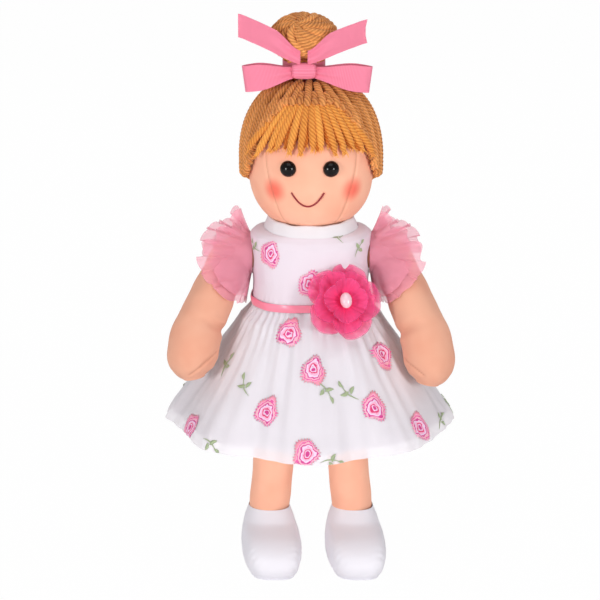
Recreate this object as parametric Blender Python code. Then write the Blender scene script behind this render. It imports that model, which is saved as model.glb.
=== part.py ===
"""A standing rag doll in a party dress, about 350 mm tall, built piece by piece.

Metres, +Z up. The doll stands on flat soles at z = 0 and faces -Y; its own left side is at +X.
Every piece is drawn in the doll's frame and then hung on an empty that sits on its joint's axis.
Stuffed parts are a cloth skin, open where it is sewn on, round a filling.
"""

import math

import bmesh
import bpy
from mathutils import Matrix, Vector

# Cloth, clearances and how finely round things are divided
GAP = 0.0003
LOOSE = 0.0009
SKIN_WALL = 0.0008
DRESS_WALL = 0.0009
NET_WALL = 0.0008
RIBBON_WALL = 0.0008
OVERRUN = 0.004
LIMB_SIDES = 14
BODY_SIDES = 22
HEAD_SIDES = 24
DRESS_SIDES = 32
SKIRT_SIDES = 40
SMALL_SIDES = 12
SMOOTH_ANGLE = math.radians(50)

# Legs and shoes: the hip pivots carry the legs, the soles are flat
HIP_Z = 0.122
HIP_X = 0.0185
LEG_RADIUS = 0.0136
ANKLE_X = 0.0266
ANKLE_Z = 0.0366
ANKLE_RADIUS = 0.0129
SHOE_HALF_WIDTH = 0.0186
SHOE_TOE = 0.046
SHOE_HEEL = 0.0148
TOE_TURN = 0.0045
LEG_STEPS = 4
DOME_STEPS = 4

# Torso: it ends just above the legs and opens at the neck
TORSO_HEIGHT = 0.0775
TORSO_HALF_WIDTH = 0.0345
TORSO_HALF_DEPTH = 0.0275
TORSO_POWER = 2.3
NECK_RADIUS = 0.013
NECK_EASE = 0.0009
WAIST_DROP = 0.0424
SHOULDER_DROP = 0.0115

# Head: a stuffed ball, fuller at the cheeks, that turns and nods on the neck
HEAD_HALF_WIDTH = 0.0385
HEAD_HALF_DEPTH = 0.036
HEAD_ABOVE = 0.046
HEAD_BELOW = 0.043
HEAD_RISE = 0.0055
HEAD_UPPER_POWER = 2.3
HEAD_LOWER_POWER = 2.6
HEAD_ROWS_ABOVE = 7
HEAD_ROWS_BELOW = 6
NOD_ABOVE_CHIN = 0.019
NOD_ROOM = math.radians(10)
SOCKET_EASE = 0.0008

# Face: bead eyes on shanks with washers behind, a stitched smile
FACE_SHIFT = -0.001
EYE_HALF_SPACING = 0.0128
EYE_RADIUS = 0.005
EYE_HEIGHT = 0.0042
EYE_SHANK_RADIUS = 0.0013
EYE_HOLE_EASE = 0.0004
WASHER_RADIUS = 0.0045
WASHER_WALL = 0.0012
SHANK_END = 0.0008
MOUTH_SHIFT = -0.0011
MOUTH_HALF_WIDTH = 0.0099
MOUTH_DEPTH = 0.0088
MOUTH_DROP = 0.0147
MOUTH_THREAD_RADIUS = 0.0005
MOUTH_STEPS = 11

# Hair: a cap of yarn, a fringe under its arch and a bun on the crown
HAIR_SEAT = 0.0016
HAIR_WALL = 0.0042
FRINGE_WALL = 0.0034
HAIR_ARCH_RISE = 0.038
HAIR_SIDE_DROP = 0.009
HAIR_NAPE_DROP = 0.033
HAIR_ARCH_FLAT = math.radians(20)
HAIR_SIDE_ANGLE = math.radians(75)
HAIR_SEAM = 0.0008
HAIR_ROWS = 7
HAIR_SIDES = 28
FRINGE_RISE = 0.0105
FRINGE_ANGLE = math.radians(47)
FRINGE_COLUMNS = 14
FRINGE_ROWS = 3
BUN_X = -0.0044
BUN_Y = 0.001
BUN_RADIUS = 0.0215
BUN_HEIGHT = 0.0372

# Bow: one ribbon round the foot of the bun, knotted in front
BOW_RIBBON_WIDTH = 0.016
BAND_HEIGHT = 0.0082
KNOT_WIDTH = 0.0148
KNOT_DEPTH = 0.0075
KNOT_HEIGHT = 0.0108
KNOT_BEVEL = 0.0026
LOOP_LENGTH = 0.0325
LOOP_DEPTH = 0.0085
LOOP_STEPS = 14
LOOP_TILT = math.radians(7.5)
LOOP_PINCH_SHARE = 0.55
TAIL_WIDTH = 0.0145
TAIL_FOOT_WIDTH = 0.006
TAIL_BACK = 0.0125
TAIL_FRONT_SHARE = 0.42
LEFT_TAIL_REACH = 0.036
LEFT_TAIL_RISE = 0.011
RIGHT_TAIL_REACH = 0.0375
RIGHT_TAIL_RISE = 0.0145
TAIL_STEPS = 7

# Dress: collar, bodice, waist ribbon, an embroidered net skirt over a lining
BODICE_EASE = 0.0034
BODICE_RISE = 0.0058
NECK_DIP = 0.003
COLLAR_HEIGHT = 0.0063
COLLAR_WALL = 0.0011
ARMHOLE_RADIUS = 0.0118
ARMHOLE_INSET = 0.007
SLIT_WIDTH = 0.0007
SLIT_LENGTH = 0.034
TAPE_WALL = 0.0004
TAPE_WIDTH = 0.007
TAPE_LENGTH = 0.021
WAIST_RIBBON_WIDTH = 0.0047
SKIRT_DROP = 0.0795
SKIRT_HEM_HALF_WIDTH = 0.0915
SKIRT_HEM_HALF_DEPTH = 0.0855
SKIRT_HEM_LIFT = 0.004
SKIRT_FOLD = 0.0032
SKIRT_FOLDS = 8
SKIRT_ROWS = 6
LINING_ROWS = 4
LINING_SHORTER = 0.005
LAYER_GAP = 0.0012

# Arms and their net frills: the arms hang out and forward from the shoulders
ARM_CLEAR = 0.0012
ARM_RADIUS = 0.0156
ARM_OUT = 0.0338
ARM_FORWARD = 0.034
ARM_DROP = 0.0785
STUB_RADIUS = 0.0095
FRILL_EASE = 0.0024
FRILL_TOP_RISE = 0.03
FRILL_TOP_OUT = 0.007
FRILL_FRONT_REACH = 0.028
FRILL_FRONT_OUT = 0.0325
FRILL_LOW_DROP = 0.031
FRILL_LOW_OUT = 0.004
FRILL_WAVE = 0.0012
FRILL_WAVES = 8
FRILL_SIDES = 32
FRILL_ROWS = 3
STATIONS_PER_ROW = 4

# Flower: three gathered layers on a stitched base, with a bead in the middle
FLOWER_X = 0.0172
FLOWER_ABOVE_WAIST = 0.0052
FLOWER_TILT = math.radians(23)
FLOWER_TURN = math.radians(16)
FLOWER_BASE_RADIUS = 0.007
FLOWER_BASE_LENGTH = 0.0052
FLOWER_SEAT = 0.0026
FLOWER_HEIGHT_SHARE = 0.1
PETAL_WALL = 0.0009
OUTER_PETAL_RADIUS = 0.0222
MIDDLE_PETAL_RADIUS = 0.0165
INNER_PETAL_RADIUS = 0.0105
OUTER_PETAL_CUP = 0.002
MIDDLE_PETAL_CUP = 0.0048
INNER_PETAL_CUP = 0.0068
PETAL_WAVE = 0.0013
PETAL_SIDES = 30
PETAL_ROWS = 3
BEAD_HALF_WIDTH = 0.0036
BEAD_HALF_LENGTH = 0.0048

# Outlines as shares of the sizes above
TORSO_SHARES = (
    (0.0, 0.62, 0.58),
    (0.035, 0.83, 0.80),
    (0.11, 0.96, 0.95),
    (0.25, 1.0, 1.0),
    (0.45, 0.95, 0.97),
    (0.7, 0.955, 0.98),
    (0.86, 0.975, 0.94),
    (0.94, 0.93, 0.84),
    (0.985, 0.76, 0.68),
)
BODICE_SHARES = (
    (0.0, 0.965, 1.0),
    (0.3, 0.95, 1.0),
    (0.6, 0.975, 0.99),
    (0.8, 1.0, 0.97),
    (0.92, 0.985, 0.93),
    (0.98, 0.9, 0.89),
    (1.0, 0.775, 0.875),
)
SHOE_SHARES = (
    (0.82, 0.84, 0.42, 0.95),
    (0.64, 0.95, 0.75, 0.98),
    (0.46, 1.0, 0.94, 1.0),
    (0.27, 0.98, 1.0, 1.0),
    (0.11, 0.91, 0.96, 0.93),
    (0.0, 0.8, 0.88, 0.8),
)
ARM_SHARES = (
    (0.0, 0.0, 0.0, 0.64),
    (0.34, 0.08, 0.04, 0.76),
    (0.48, 0.25, 0.19, 0.85),
    (0.73, 0.5, 0.42, 0.91),
    (0.93, 0.72, 0.64, 1.0),
    (1.0, 0.88, 0.81, 1.0),
    (0.99, 0.96, 0.92, 0.8),
    (0.965, 0.99, 0.985, 0.44),
)
BUN_SHARES = (
    (0.0, 0.56),
    (0.24, 0.56),
    (0.33, 0.78),
    (0.44, 0.93),
    (0.58, 1.0),
    (0.75, 0.88),
    (0.89, 0.62),
    (0.975, 0.28),
)
TAIL_SHARES = (
    (0.0, 0.0, 0.0),
    (0.25, 0.25, 0.02),
    (0.5, 0.55, 0.3),
    (0.78, 0.82, 0.7),
    (1.0, 1.0, 1.0),
)
SKIRT_SHARES = (
    (0.0, 0.0),
    (0.1, 0.13),
    (0.3, 0.33),
    (0.55, 0.58),
    (0.8, 0.83),
    (1.0, 1.0),
)

# Heights and places that follow from those sizes
TORSO_BOTTOM_Z = HIP_Z + LEG_RADIUS + GAP
TORSO_TOP_Z = TORSO_BOTTOM_Z + TORSO_HEIGHT
WAIST_Z = TORSO_TOP_Z - WAIST_DROP
SHOULDER_Z = TORSO_TOP_Z - SHOULDER_DROP
CHIN_Z = TORSO_TOP_Z + HEAD_RISE
HEAD_Z = CHIN_Z + HEAD_BELOW
NOD_Z = CHIN_Z + NOD_ABOVE_CHIN
FILL_INSET = SKIN_WALL + LOOSE
BODICE_HALF_WIDTH = TORSO_HALF_WIDTH + BODICE_EASE
BODICE_HALF_DEPTH = TORSO_HALF_DEPTH + BODICE_EASE
BODICE_TOP_Z = TORSO_TOP_Z + BODICE_RISE
ARM_X = BODICE_HALF_WIDTH + ARM_CLEAR
HAIR_OUT = HAIR_SEAT + HAIR_WALL
BUN_Z = HEAD_Z + HEAD_ABOVE + HAIR_OUT + GAP
BUN_NECK_RADIUS = BUN_RADIUS * BUN_SHARES[0][1]
KNOT_Y = BUN_Y - BUN_NECK_RADIUS - RIBBON_WALL - 2 * GAP - KNOT_DEPTH / 2
KNOT_Z = BUN_Z + GAP + BAND_HEIGHT / 2


def clear_scene():
    for thing in list(bpy.data.objects):
        bpy.data.objects.remove(thing)


def paint(name, colour, roughness, metallic=0.0):
    """A plain Principled material."""
    material = bpy.data.materials.new(name)
    material.use_nodes = True
    shader = material.node_tree.nodes["Principled BSDF"]
    shader.inputs["Base Color"].default_value = (*colour, 1.0)
    shader.inputs["Roughness"].default_value = roughness
    shader.inputs["Metallic"].default_value = metallic
    return material


def joint_empty(name, x, y, z):
    """The empty that a body's pieces hang on, on the body's joint axis."""
    empty = bpy.data.objects.new(name, None)
    empty.location = (x, y, z)
    bpy.context.collection.objects.link(empty)
    return empty


def finish(bm, name, pivot, material):
    """Turn a bmesh in the doll's frame into an object whose origin is its pivot."""
    bmesh.ops.translate(bm, verts=bm.verts, vec=-Vector(pivot.location))
    mesh = bpy.data.meshes.new(name)
    bm.to_mesh(mesh)
    bm.free()
    mesh.materials.append(material)
    mesh.shade_smooth()
    mesh.set_sharp_from_angle(angle=SMOOTH_ANGLE)
    piece = bpy.data.objects.new(name, mesh)
    piece.parent = pivot
    bpy.context.collection.objects.link(piece)
    return piece


def oval(centre, half_width, half_depth, sides, power=2.0):
    """One level ring of points, counter-clockwise seen from above; a higher power is squarer."""
    points = []
    for k in range(sides):
        angle = 2 * math.pi * k / sides
        c = math.cos(angle)
        s = math.sin(angle)
        x = math.copysign(abs(c) ** (2 / power), c)
        y = math.copysign(abs(s) ** (2 / power), s)
        points.append(Vector((centre[0] + half_width * x, centre[1] + half_depth * y, centre[2])))
    return points


def ring_round(centre, normal, across, radius, sides):
    """A ring round a slanted axis, starting at the direction called across."""
    u = (across - normal * across.dot(normal)).normalized()
    v = normal.cross(u)
    turns = [2 * math.pi * k / sides for k in range(sides)]
    return [centre + radius * (u * math.cos(a) + v * math.sin(a)) for a in turns]


def loft(rings, start=None, end=None, closed=True):
    """Bridge rings of points with quads; start and end are the poles that close it, if any."""
    bm = bmesh.new()
    rows = [[bm.verts.new(p) for p in ring] for ring in rings]
    for low, high in zip(rows, rows[1:]):
        count = len(low)
        for k in range(count if closed else count - 1):
            j = (k + 1) % count
            bm.faces.new((low[k], low[j], high[j], high[k]))
    for pole, row, turn in ((start, rows[0], True), (end, rows[-1], False)):
        if pole is None:
            continue
        tip = bm.verts.new(pole)
        for k, vert in enumerate(row):
            other = row[(k + 1) % len(row)]
            bm.faces.new((tip, other, vert) if turn else (tip, vert, other))
    bm.normal_update()
    return bm


def turned(profile, sides, place):
    """Spin a profile of (radius, height) pairs, both ends on the axis, and put it in place."""
    bm = bmesh.new()
    verts = [bm.verts.new((r, 0.0, h)) for r, h in profile]
    edges = [bm.edges.new(pair) for pair in zip(verts, verts[1:])]
    bmesh.ops.spin(
        bm,
        geom=verts + edges,
        cent=(0, 0, 0),
        axis=(0, 0, 1),
        angle=2 * math.pi,
        steps=sides,
        use_duplicate=False,
    )
    bmesh.ops.remove_doubles(bm, verts=bm.verts, dist=GAP / 10)
    bmesh.ops.recalc_face_normals(bm, faces=bm.faces)
    bmesh.ops.transform(bm, matrix=place, verts=bm.verts)
    return bm


def shrink(bm, depth):
    """Draw a closed form in along its normals, as a filling lies inside its skin."""
    bm.normal_update()
    moves = [(v, v.normal * depth) for v in bm.verts]
    for v, move in moves:
        v.co -= move
    return bm


def wall(piece, thickness, outward=False):
    """Give an open sheet its thickness; the body that results is closed."""
    solid = piece.modifiers.new("wall", "SOLIDIFY")
    solid.thickness = thickness
    solid.offset = 1.0 if outward else -1.0
    solid.use_even_offset = True
    solid.use_quality_normals = True
    return piece


def cutter(bm, name, pivot):
    """A tool shape that is only there to be cut away."""
    tool = finish(bm, name, pivot, paint(name, (1, 0, 0), 0.5))
    tool.hide_render = True
    tool.display_type = "WIRE"
    return tool


def cut(piece, tool):
    boolean = piece.modifiers.new("cut_" + tool.name, "BOOLEAN")
    boolean.operation = "DIFFERENCE"
    boolean.solver = "EXACT"
    boolean.object = tool


def facing(origin, direction):
    """A matrix that puts +Z along direction at origin."""
    return Matrix.Translation(origin) @ direction.to_track_quat("Z", "Y").to_matrix().to_4x4()


def smooth_step(t):
    t = min(max(t, 0.0), 1.0)
    return t * t * (3 - 2 * t)


def between(table, share):
    """Read a table whose first column rises, straight between its rows."""
    for low, high in zip(table, table[1:]):
        if share <= high[0]:
            t = (share - low[0]) / (high[0] - low[0])
            return [a + (b - a) * t for a, b in zip(low, high)]
    return list(table[-1])


# Head surface: the face, the hair and the eyes all sit on it
def head_ring(slope, out=0.0, sides=HEAD_SIDES):
    """The head's level ring at a slope angle from -90 (chin) to 90 degrees (crown), grown by out."""
    upper = slope >= 0
    power = HEAD_UPPER_POWER if upper else HEAD_LOWER_POWER
    rise = math.sin(abs(slope)) ** (2 / power)
    share = math.cos(slope) ** (2 / power)
    z = HEAD_Z + rise * (HEAD_ABOVE + out) if upper else HEAD_Z - rise * (HEAD_BELOW + out)
    return oval((0, 0, z), (HEAD_HALF_WIDTH + out) * share, (HEAD_HALF_DEPTH + out) * share, sides)


def head_share(z, out=0.0):
    """How wide the head is at a height, as a share of its widest."""
    upper = z >= HEAD_Z
    power = HEAD_UPPER_POWER if upper else HEAD_LOWER_POWER
    reach = (HEAD_ABOVE if upper else HEAD_BELOW) + out
    return max(0.0, 1 - min(1.0, abs(z - HEAD_Z) / reach) ** power) ** (1 / power)


def head_point(angle, z, out=0.0):
    """A point on the head, grown by out, at an angle from straight ahead and a height."""
    share = head_share(z, out)
    x = (HEAD_HALF_WIDTH + out) * share * math.sin(angle)
    y = -(HEAD_HALF_DEPTH + out) * share * math.cos(angle)
    return Vector((x, y, z))


def face_point(x, z, out=0.0):
    """The point of the face straight in front of (x, z), and the outward direction there."""
    share = head_share(z, out)
    angle = math.asin(x / ((HEAD_HALF_WIDTH + out) * share))
    point = head_point(angle, z, out)
    step = GAP
    side = head_point(angle + step / HEAD_HALF_WIDTH, z, out) - point
    up = head_point(angle, z + step, out) - point
    return point, side.cross(up).normalized()


def head_slopes():
    """Slope angles of the head's rows, from the neck opening to just under the crown."""
    hole = math.pi / 2 - math.asin((neck_hole_radius() / HEAD_HALF_WIDTH) ** (HEAD_LOWER_POWER / 2))
    below = [-hole * (1 - k / HEAD_ROWS_BELOW) for k in range(HEAD_ROWS_BELOW)]
    above = [math.pi / 2 * k / HEAD_ROWS_ABOVE for k in range(HEAD_ROWS_ABOVE)]
    return below + above


def neck_hole_radius():
    """The neck opening leaves the neck room to tip when the head nods."""
    return NECK_RADIUS + NOD_ABOVE_CHIN * math.tan(NOD_ROOM) + SOCKET_EASE


# Stuffed torso and neck
def torso_rings():
    rings = []
    for height, width, depth in TORSO_SHARES:
        centre = (0, 0, TORSO_BOTTOM_Z + TORSO_HEIGHT * height)
        half_width = TORSO_HALF_WIDTH * width
        half_depth = TORSO_HALF_DEPTH * depth
        rings.append(oval(centre, half_width, half_depth, BODY_SIDES, TORSO_POWER))
    mouth = NECK_RADIUS + NECK_EASE
    rings.append(oval((0, 0, TORSO_TOP_Z), mouth, mouth, BODY_SIDES))
    return rings


def build_torso(pivot, cloth, stuffing):
    rings = torso_rings()
    bottom = Vector((0, 0, TORSO_BOTTOM_Z))
    wall(finish(loft(rings, start=bottom), "torso_skin", pivot, cloth), SKIN_WALL)
    top = Vector((0, 0, TORSO_TOP_Z))
    finish(shrink(loft(rings, start=bottom, end=top), FILL_INSET), "torso_filling", pivot, stuffing)


def build_neck(pivot, stuffing):
    """The stuffed neck stands on the torso's filling and ends as a ball in the head."""
    foot_z = TORSO_TOP_Z - FILL_INSET + GAP
    rings = [oval((0, 0, z), NECK_RADIUS, NECK_RADIUS, BODY_SIDES) for z in (foot_z, NOD_Z)]
    for k in range(1, DOME_STEPS):
        slope = math.pi / 2 * k / DOME_STEPS
        radius = NECK_RADIUS * math.cos(slope)
        rings.append(oval((0, 0, NOD_Z + NECK_RADIUS * math.sin(slope)), radius, radius, BODY_SIDES))
    top = Vector((0, 0, NOD_Z + NECK_RADIUS))
    finish(loft(rings, start=Vector((0, 0, foot_z)), end=top), "neck", pivot, stuffing)


def build_head(pivot, cloth, stuffing):
    rings = [head_ring(slope) for slope in head_slopes()]
    crown = Vector((0, 0, HEAD_Z + HEAD_ABOVE))
    skin = wall(finish(loft(rings, end=crown), "head_skin", pivot, cloth), SKIN_WALL)
    chin = Vector((0, 0, rings[0][0].z))
    core = shrink(loft(rings, start=chin, end=crown), FILL_INSET)
    filling = finish(core, "head_filling", pivot, stuffing)
    socket = NECK_RADIUS + SOCKET_EASE
    mouth = neck_hole_radius()
    low = CHIN_Z - OVERRUN
    profile = [(0.0, low), (mouth, low), (mouth, CHIN_Z), (socket, NOD_Z)]
    for k in range(1, DOME_STEPS):
        slope = math.pi / 2 * k / DOME_STEPS
        profile.append((socket * math.cos(slope), NOD_Z + socket * math.sin(slope)))
    profile.append((0.0, NOD_Z + socket))
    cut(filling, cutter(turned(profile, BODY_SIDES, Matrix.Identity(4)), "neck_socket", pivot))
    return skin, filling


def build_eyes(pivot, skin, filling, bead, plastic):
    """Domed beads on shanks through the skin, each held by a washer in a pocket of the filling."""
    sag = EYE_RADIUS**2 / (2 * HEAD_HALF_DEPTH)
    washer_front = SKIN_WALL + sag + GAP
    washer_back = washer_front + WASHER_WALL
    shank_foot = washer_back + SHANK_END
    hole = EYE_SHANK_RADIUS + EYE_HOLE_EASE
    for side, sign in (("right", -1), ("left", 1)):
        seat, normal = face_point(FACE_SHIFT + sign * EYE_HALF_SPACING, HEAD_Z)
        place = facing(seat, normal)
        profile = [
            (0.0, -shank_foot),
            (EYE_SHANK_RADIUS, -shank_foot),
            (EYE_SHANK_RADIUS, GAP),
            (EYE_RADIUS, GAP),
        ]
        for k in range(1, DOME_STEPS):
            slope = math.pi / 2 * k / DOME_STEPS
            profile.append((EYE_RADIUS * math.cos(slope), GAP + EYE_HEIGHT * math.sin(slope)))
        profile.append((0.0, GAP + EYE_HEIGHT))
        finish(turned(profile, SMALL_SIDES, place), "eye_" + side, pivot, bead)
        ring = [
            (hole, -washer_back),
            (WASHER_RADIUS, -washer_back),
            (WASHER_RADIUS, -washer_front),
            (hole, -washer_front),
        ]
        washer = turned(ring + ring[:1], SMALL_SIDES, place)
        finish(washer, "eye_washer_" + side, pivot, plastic)
        through = [(0.0, -FILL_INSET), (hole, -FILL_INSET), (hole, OVERRUN), (0.0, OVERRUN)]
        cut(skin, cutter(turned(through, SMALL_SIDES, place), "eye_hole_" + side, pivot))
        reach = WASHER_RADIUS + LOOSE
        deep = shank_foot + LOOSE
        pocket = [(0.0, -deep), (reach, -deep), (reach, OVERRUN), (0.0, OVERRUN)]
        cut(filling, cutter(turned(pocket, SMALL_SIDES, place), "eye_pocket_" + side, pivot))


def build_mouth(pivot, thread):
    """A smile stitched with one thread that lies on the face."""
    middle = FACE_SHIFT + MOUTH_SHIFT
    lift = MOUTH_THREAD_RADIUS + GAP
    centres = []
    for k in range(MOUTH_STEPS):
        t = 2 * k / (MOUTH_STEPS - 1) - 1
        z = HEAD_Z - MOUTH_DROP - MOUTH_DEPTH * (1 - t * t)
        point, normal = face_point(middle + MOUTH_HALF_WIDTH * t, z)
        centres.append(point + normal * lift)
    rings = []
    for k, centre in enumerate(centres):
        along = (centres[min(k + 1, MOUTH_STEPS - 1)] - centres[max(k - 1, 0)]).normalized()
        rings.append(ring_round(centre, along, Vector((0, 0, 1)), MOUTH_THREAD_RADIUS, SMALL_SIDES // 2))
    finish(loft(rings, start=centres[0], end=centres[-1]), "mouth_stitch", pivot, thread)


# Hair
def hair_edge(angle):
    """Height of the cap's lower edge: an arch over the face, then down the sides to the nape."""
    turn = abs(angle)
    arch = HEAD_Z + HAIR_ARCH_RISE
    side = HEAD_Z - HAIR_SIDE_DROP
    nape = HEAD_Z - HAIR_NAPE_DROP
    if turn < HAIR_SIDE_ANGLE:
        fall = (turn - HAIR_ARCH_FLAT) / (HAIR_SIDE_ANGLE - HAIR_ARCH_FLAT)
        return arch + (side - arch) * smooth_step(fall)
    fall = (turn - HAIR_SIDE_ANGLE) / (math.pi - HAIR_SIDE_ANGLE)
    return side + (nape - side) * smooth_step(fall)


def hair_slope(z):
    """The slope angle at which the inside of the hair reaches a height."""
    if z >= HEAD_Z:
        return math.asin(((z - HEAD_Z) / (HEAD_ABOVE + HAIR_SEAT)) ** (HEAD_UPPER_POWER / 2))
    return -math.asin(((HEAD_Z - z) / (HEAD_BELOW + HAIR_SEAT)) ** (HEAD_LOWER_POWER / 2))


def hair_height(slope):
    if slope >= 0:
        return HEAD_Z + (HEAD_ABOVE + HAIR_SEAT) * math.sin(slope) ** (2 / HEAD_UPPER_POWER)
    return HEAD_Z - (HEAD_BELOW + HAIR_SEAT) * math.sin(-slope) ** (2 / HEAD_LOWER_POWER)


def build_hair(pivot, yarn, light_yarn):
    angles = [2 * math.pi * k / HAIR_SIDES - math.pi for k in range(HAIR_SIDES)]
    rows = []
    for row in range(HAIR_ROWS):
        ring = []
        for angle in angles:
            foot = hair_slope(hair_edge(angle))
            slope = foot + (math.pi / 2 - foot) * row / HAIR_ROWS
            ring.append(head_point(angle, hair_height(slope), HAIR_SEAT))
        rows.append(ring)
    crown = Vector((0, 0, HEAD_Z + HEAD_ABOVE + HAIR_SEAT))
    wall(finish(loft(rows, end=crown), "hair_cap", pivot, yarn), HAIR_WALL, outward=True)
    rows = []
    for row in range(FRINGE_ROWS + 1):
        line = []
        for k in range(FRINGE_COLUMNS + 1):
            angle = FRINGE_ANGLE * (2 * k / FRINGE_COLUMNS - 1)
            foot = HEAD_Z + FRINGE_RISE
            top = hair_edge(angle) - HAIR_SEAM
            line.append(head_point(angle, foot + (top - foot) * row / FRINGE_ROWS, HAIR_SEAT))
        rows.append(line)
    wall(finish(loft(rows, closed=False), "fringe", pivot, light_yarn), FRINGE_WALL, outward=True)
    rings = []
    for height, width in BUN_SHARES:
        centre = (BUN_X, BUN_Y, BUN_Z + BUN_HEIGHT * height)
        rings.append(oval(centre, BUN_RADIUS * width, BUN_RADIUS * width, HEAD_SIDES))
    top = Vector((BUN_X, BUN_Y, BUN_Z + BUN_HEIGHT))
    finish(loft(rings, start=Vector((BUN_X, BUN_Y, BUN_Z)), end=top), "bun", pivot, yarn)


def build_bow(pivot, ribbon):
    """A band round the bun's foot, a knot, two loops and two tails."""
    inner = BUN_NECK_RADIUS + GAP
    low = BUN_Z + GAP
    outer = inner + RIBBON_WALL
    high = low + BAND_HEIGHT
    band = [(inner, low), (outer, low), (outer, high), (inner, high)]
    place = Matrix.Translation((BUN_X, BUN_Y, 0))
    finish(turned(band + band[:1], HEAD_SIDES, place), "bow_band", pivot, ribbon)
    bm = bmesh.new()
    bmesh.ops.create_cube(bm, size=1)
    bmesh.ops.scale(bm, vec=(KNOT_WIDTH, KNOT_DEPTH, KNOT_HEIGHT), verts=bm.verts)
    bmesh.ops.translate(bm, vec=(BUN_X, KNOT_Y, KNOT_Z), verts=bm.verts)
    knot = finish(bm, "bow_knot", pivot, ribbon)
    rounding = knot.modifiers.new("rounding", "BEVEL")
    rounding.width = KNOT_BEVEL
    rounding.segments = 3
    rounding.limit_method = "NONE"
    start = KNOT_WIDTH / 2 + GAP + RIBBON_WALL
    for side, sign, reach, rise in (
        ("right", -1, RIGHT_TAIL_REACH, RIGHT_TAIL_RISE),
        ("left", 1, LEFT_TAIL_REACH, LEFT_TAIL_RISE),
    ):
        tilt = Matrix.Rotation(sign * LOOP_TILT, 4, "Y")
        hub = Vector((BUN_X, KNOT_Y, KNOT_Z))
        lines = []
        for level in (-BOW_RIBBON_WIDTH / 2, BOW_RIBBON_WIDTH / 2):
            line = []
            for k in range(LOOP_STEPS):
                turn = sign * 2 * math.pi * (k + 0.5) / LOOP_STEPS
                out = start + LOOP_LENGTH * (1 - math.cos(turn)) / 2
                y = LOOP_DEPTH / 2 * math.sin(turn) * abs(math.sin(turn / 2))
                spread = LOOP_PINCH_SHARE + (1 - LOOP_PINCH_SHARE) * out / (start + LOOP_LENGTH)
                line.append(hub + tilt @ Vector((sign * out, y, level * spread)))
            lines.append(line)
        loop = finish(loft(lines), "bow_loop_" + side, pivot, ribbon)
        wall(loop, RIBBON_WALL)
        foot = KNOT_Z + KNOT_HEIGHT / 2 + GAP
        lower, upper = [], []
        for k in range(TAIL_STEPS):
            _, up, back = between(TAIL_SHARES, k / (TAIL_STEPS - 1))
            share = k / (TAIL_STEPS - 1)
            x = BUN_X + sign * (KNOT_WIDTH / 4 + reach * share)
            y = KNOT_Y - KNOT_DEPTH * TAIL_FRONT_SHARE + TAIL_BACK * back
            z = foot + rise * up
            width = TAIL_FOOT_WIDTH + (TAIL_WIDTH - TAIL_FOOT_WIDTH) * share
            lower.append(Vector((x, y, z)))
            upper.append(Vector((x, y, z + width)))
        tail = finish(loft([lower, upper], closed=False), "bow_tail_" + side, pivot, ribbon)
        wall(tail, RIBBON_WALL, outward=sign > 0)


# Dress
def bodice_ring(share, out=0.0, sides=DRESS_SIDES):
    """The bodice's ring at a share of its height; its top dips at the front and the back."""
    _, width, depth = between(BODICE_SHARES, share)
    ring = oval(
        (0, 0, WAIST_Z + (BODICE_TOP_Z - WAIST_Z) * share),
        BODICE_HALF_WIDTH * width + out,
        BODICE_HALF_DEPTH * depth + out,
        sides,
        TORSO_POWER,
    )
    dip = NECK_DIP * smooth_step((share - BODICE_SHARES[3][0]) / (1 - BODICE_SHARES[3][0]))
    for point in ring:
        point.z -= dip * (point.y / BODICE_HALF_DEPTH) ** 2
    return ring


def build_bodice(pivot, cloth, tape):
    rings = [bodice_ring(row[0]) for row in BODICE_SHARES]
    bodice = wall(finish(loft(rings), "bodice", pivot, cloth), DRESS_WALL)
    for side, sign in (("right", -1), ("left", 1)):
        near = TORSO_HALF_WIDTH - ARMHOLE_INSET / 2
        far = BODICE_HALF_WIDTH + OVERRUN
        profile = [(0.0, near), (ARMHOLE_RADIUS, near), (ARMHOLE_RADIUS, far), (0.0, far)]
        place = facing(Vector((0, 0, SHOULDER_Z)), Vector((sign, 0, 0)))
        cut(bodice, cutter(turned(profile, DRESS_SIDES, place), "armhole_" + side, pivot))
    slit_top = BODICE_TOP_Z + OVERRUN
    slit_low = BODICE_TOP_Z - SLIT_LENGTH
    bm = bmesh.new()
    bmesh.ops.create_cube(bm, size=1)
    bmesh.ops.scale(bm, vec=(SLIT_WIDTH, 2 * OVERRUN + DRESS_WALL, slit_top - slit_low), verts=bm.verts)
    middle_y = BODICE_HALF_DEPTH - DRESS_WALL / 2
    bmesh.ops.translate(bm, vec=(0, middle_y, (slit_top + slit_low) / 2), verts=bm.verts)
    cut(bodice, cutter(bm, "back_slit", pivot))
    inside = TORSO_HALF_DEPTH * TORSO_SHARES[5][2] + GAP
    for name, y in (("closure_loop_strip", inside), ("closure_hook_strip", inside + TAPE_WALL + GAP)):
        bm = bmesh.new()
        bmesh.ops.create_cube(bm, size=1)
        bmesh.ops.scale(bm, vec=(TAPE_WIDTH, TAPE_WALL, TAPE_LENGTH), verts=bm.verts)
        bmesh.ops.translate(bm, vec=(0, y + TAPE_WALL / 2, slit_low + TAPE_LENGTH / 2), verts=bm.verts)
        finish(bm, name, pivot, tape)


def build_collar(pivot, cloth):
    """A stand-up band on the neckline."""
    low = bodice_ring(1.0, -GAP)
    for point in low:
        point.z += GAP
    high = [point + Vector((0, 0, COLLAR_HEIGHT)) for point in low]
    wall(finish(loft([low, high]), "collar", pivot, cloth), COLLAR_WALL)


def build_waist_ribbon(pivot, ribbon):
    width_share = WAIST_RIBBON_WIDTH / (BODICE_TOP_Z - WAIST_Z)
    rings = [bodice_ring(share, GAP) for share in (0.0, width_share)]
    wall(finish(loft(rings), "waist_ribbon", pivot, ribbon), RIBBON_WALL, outward=True)


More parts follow.
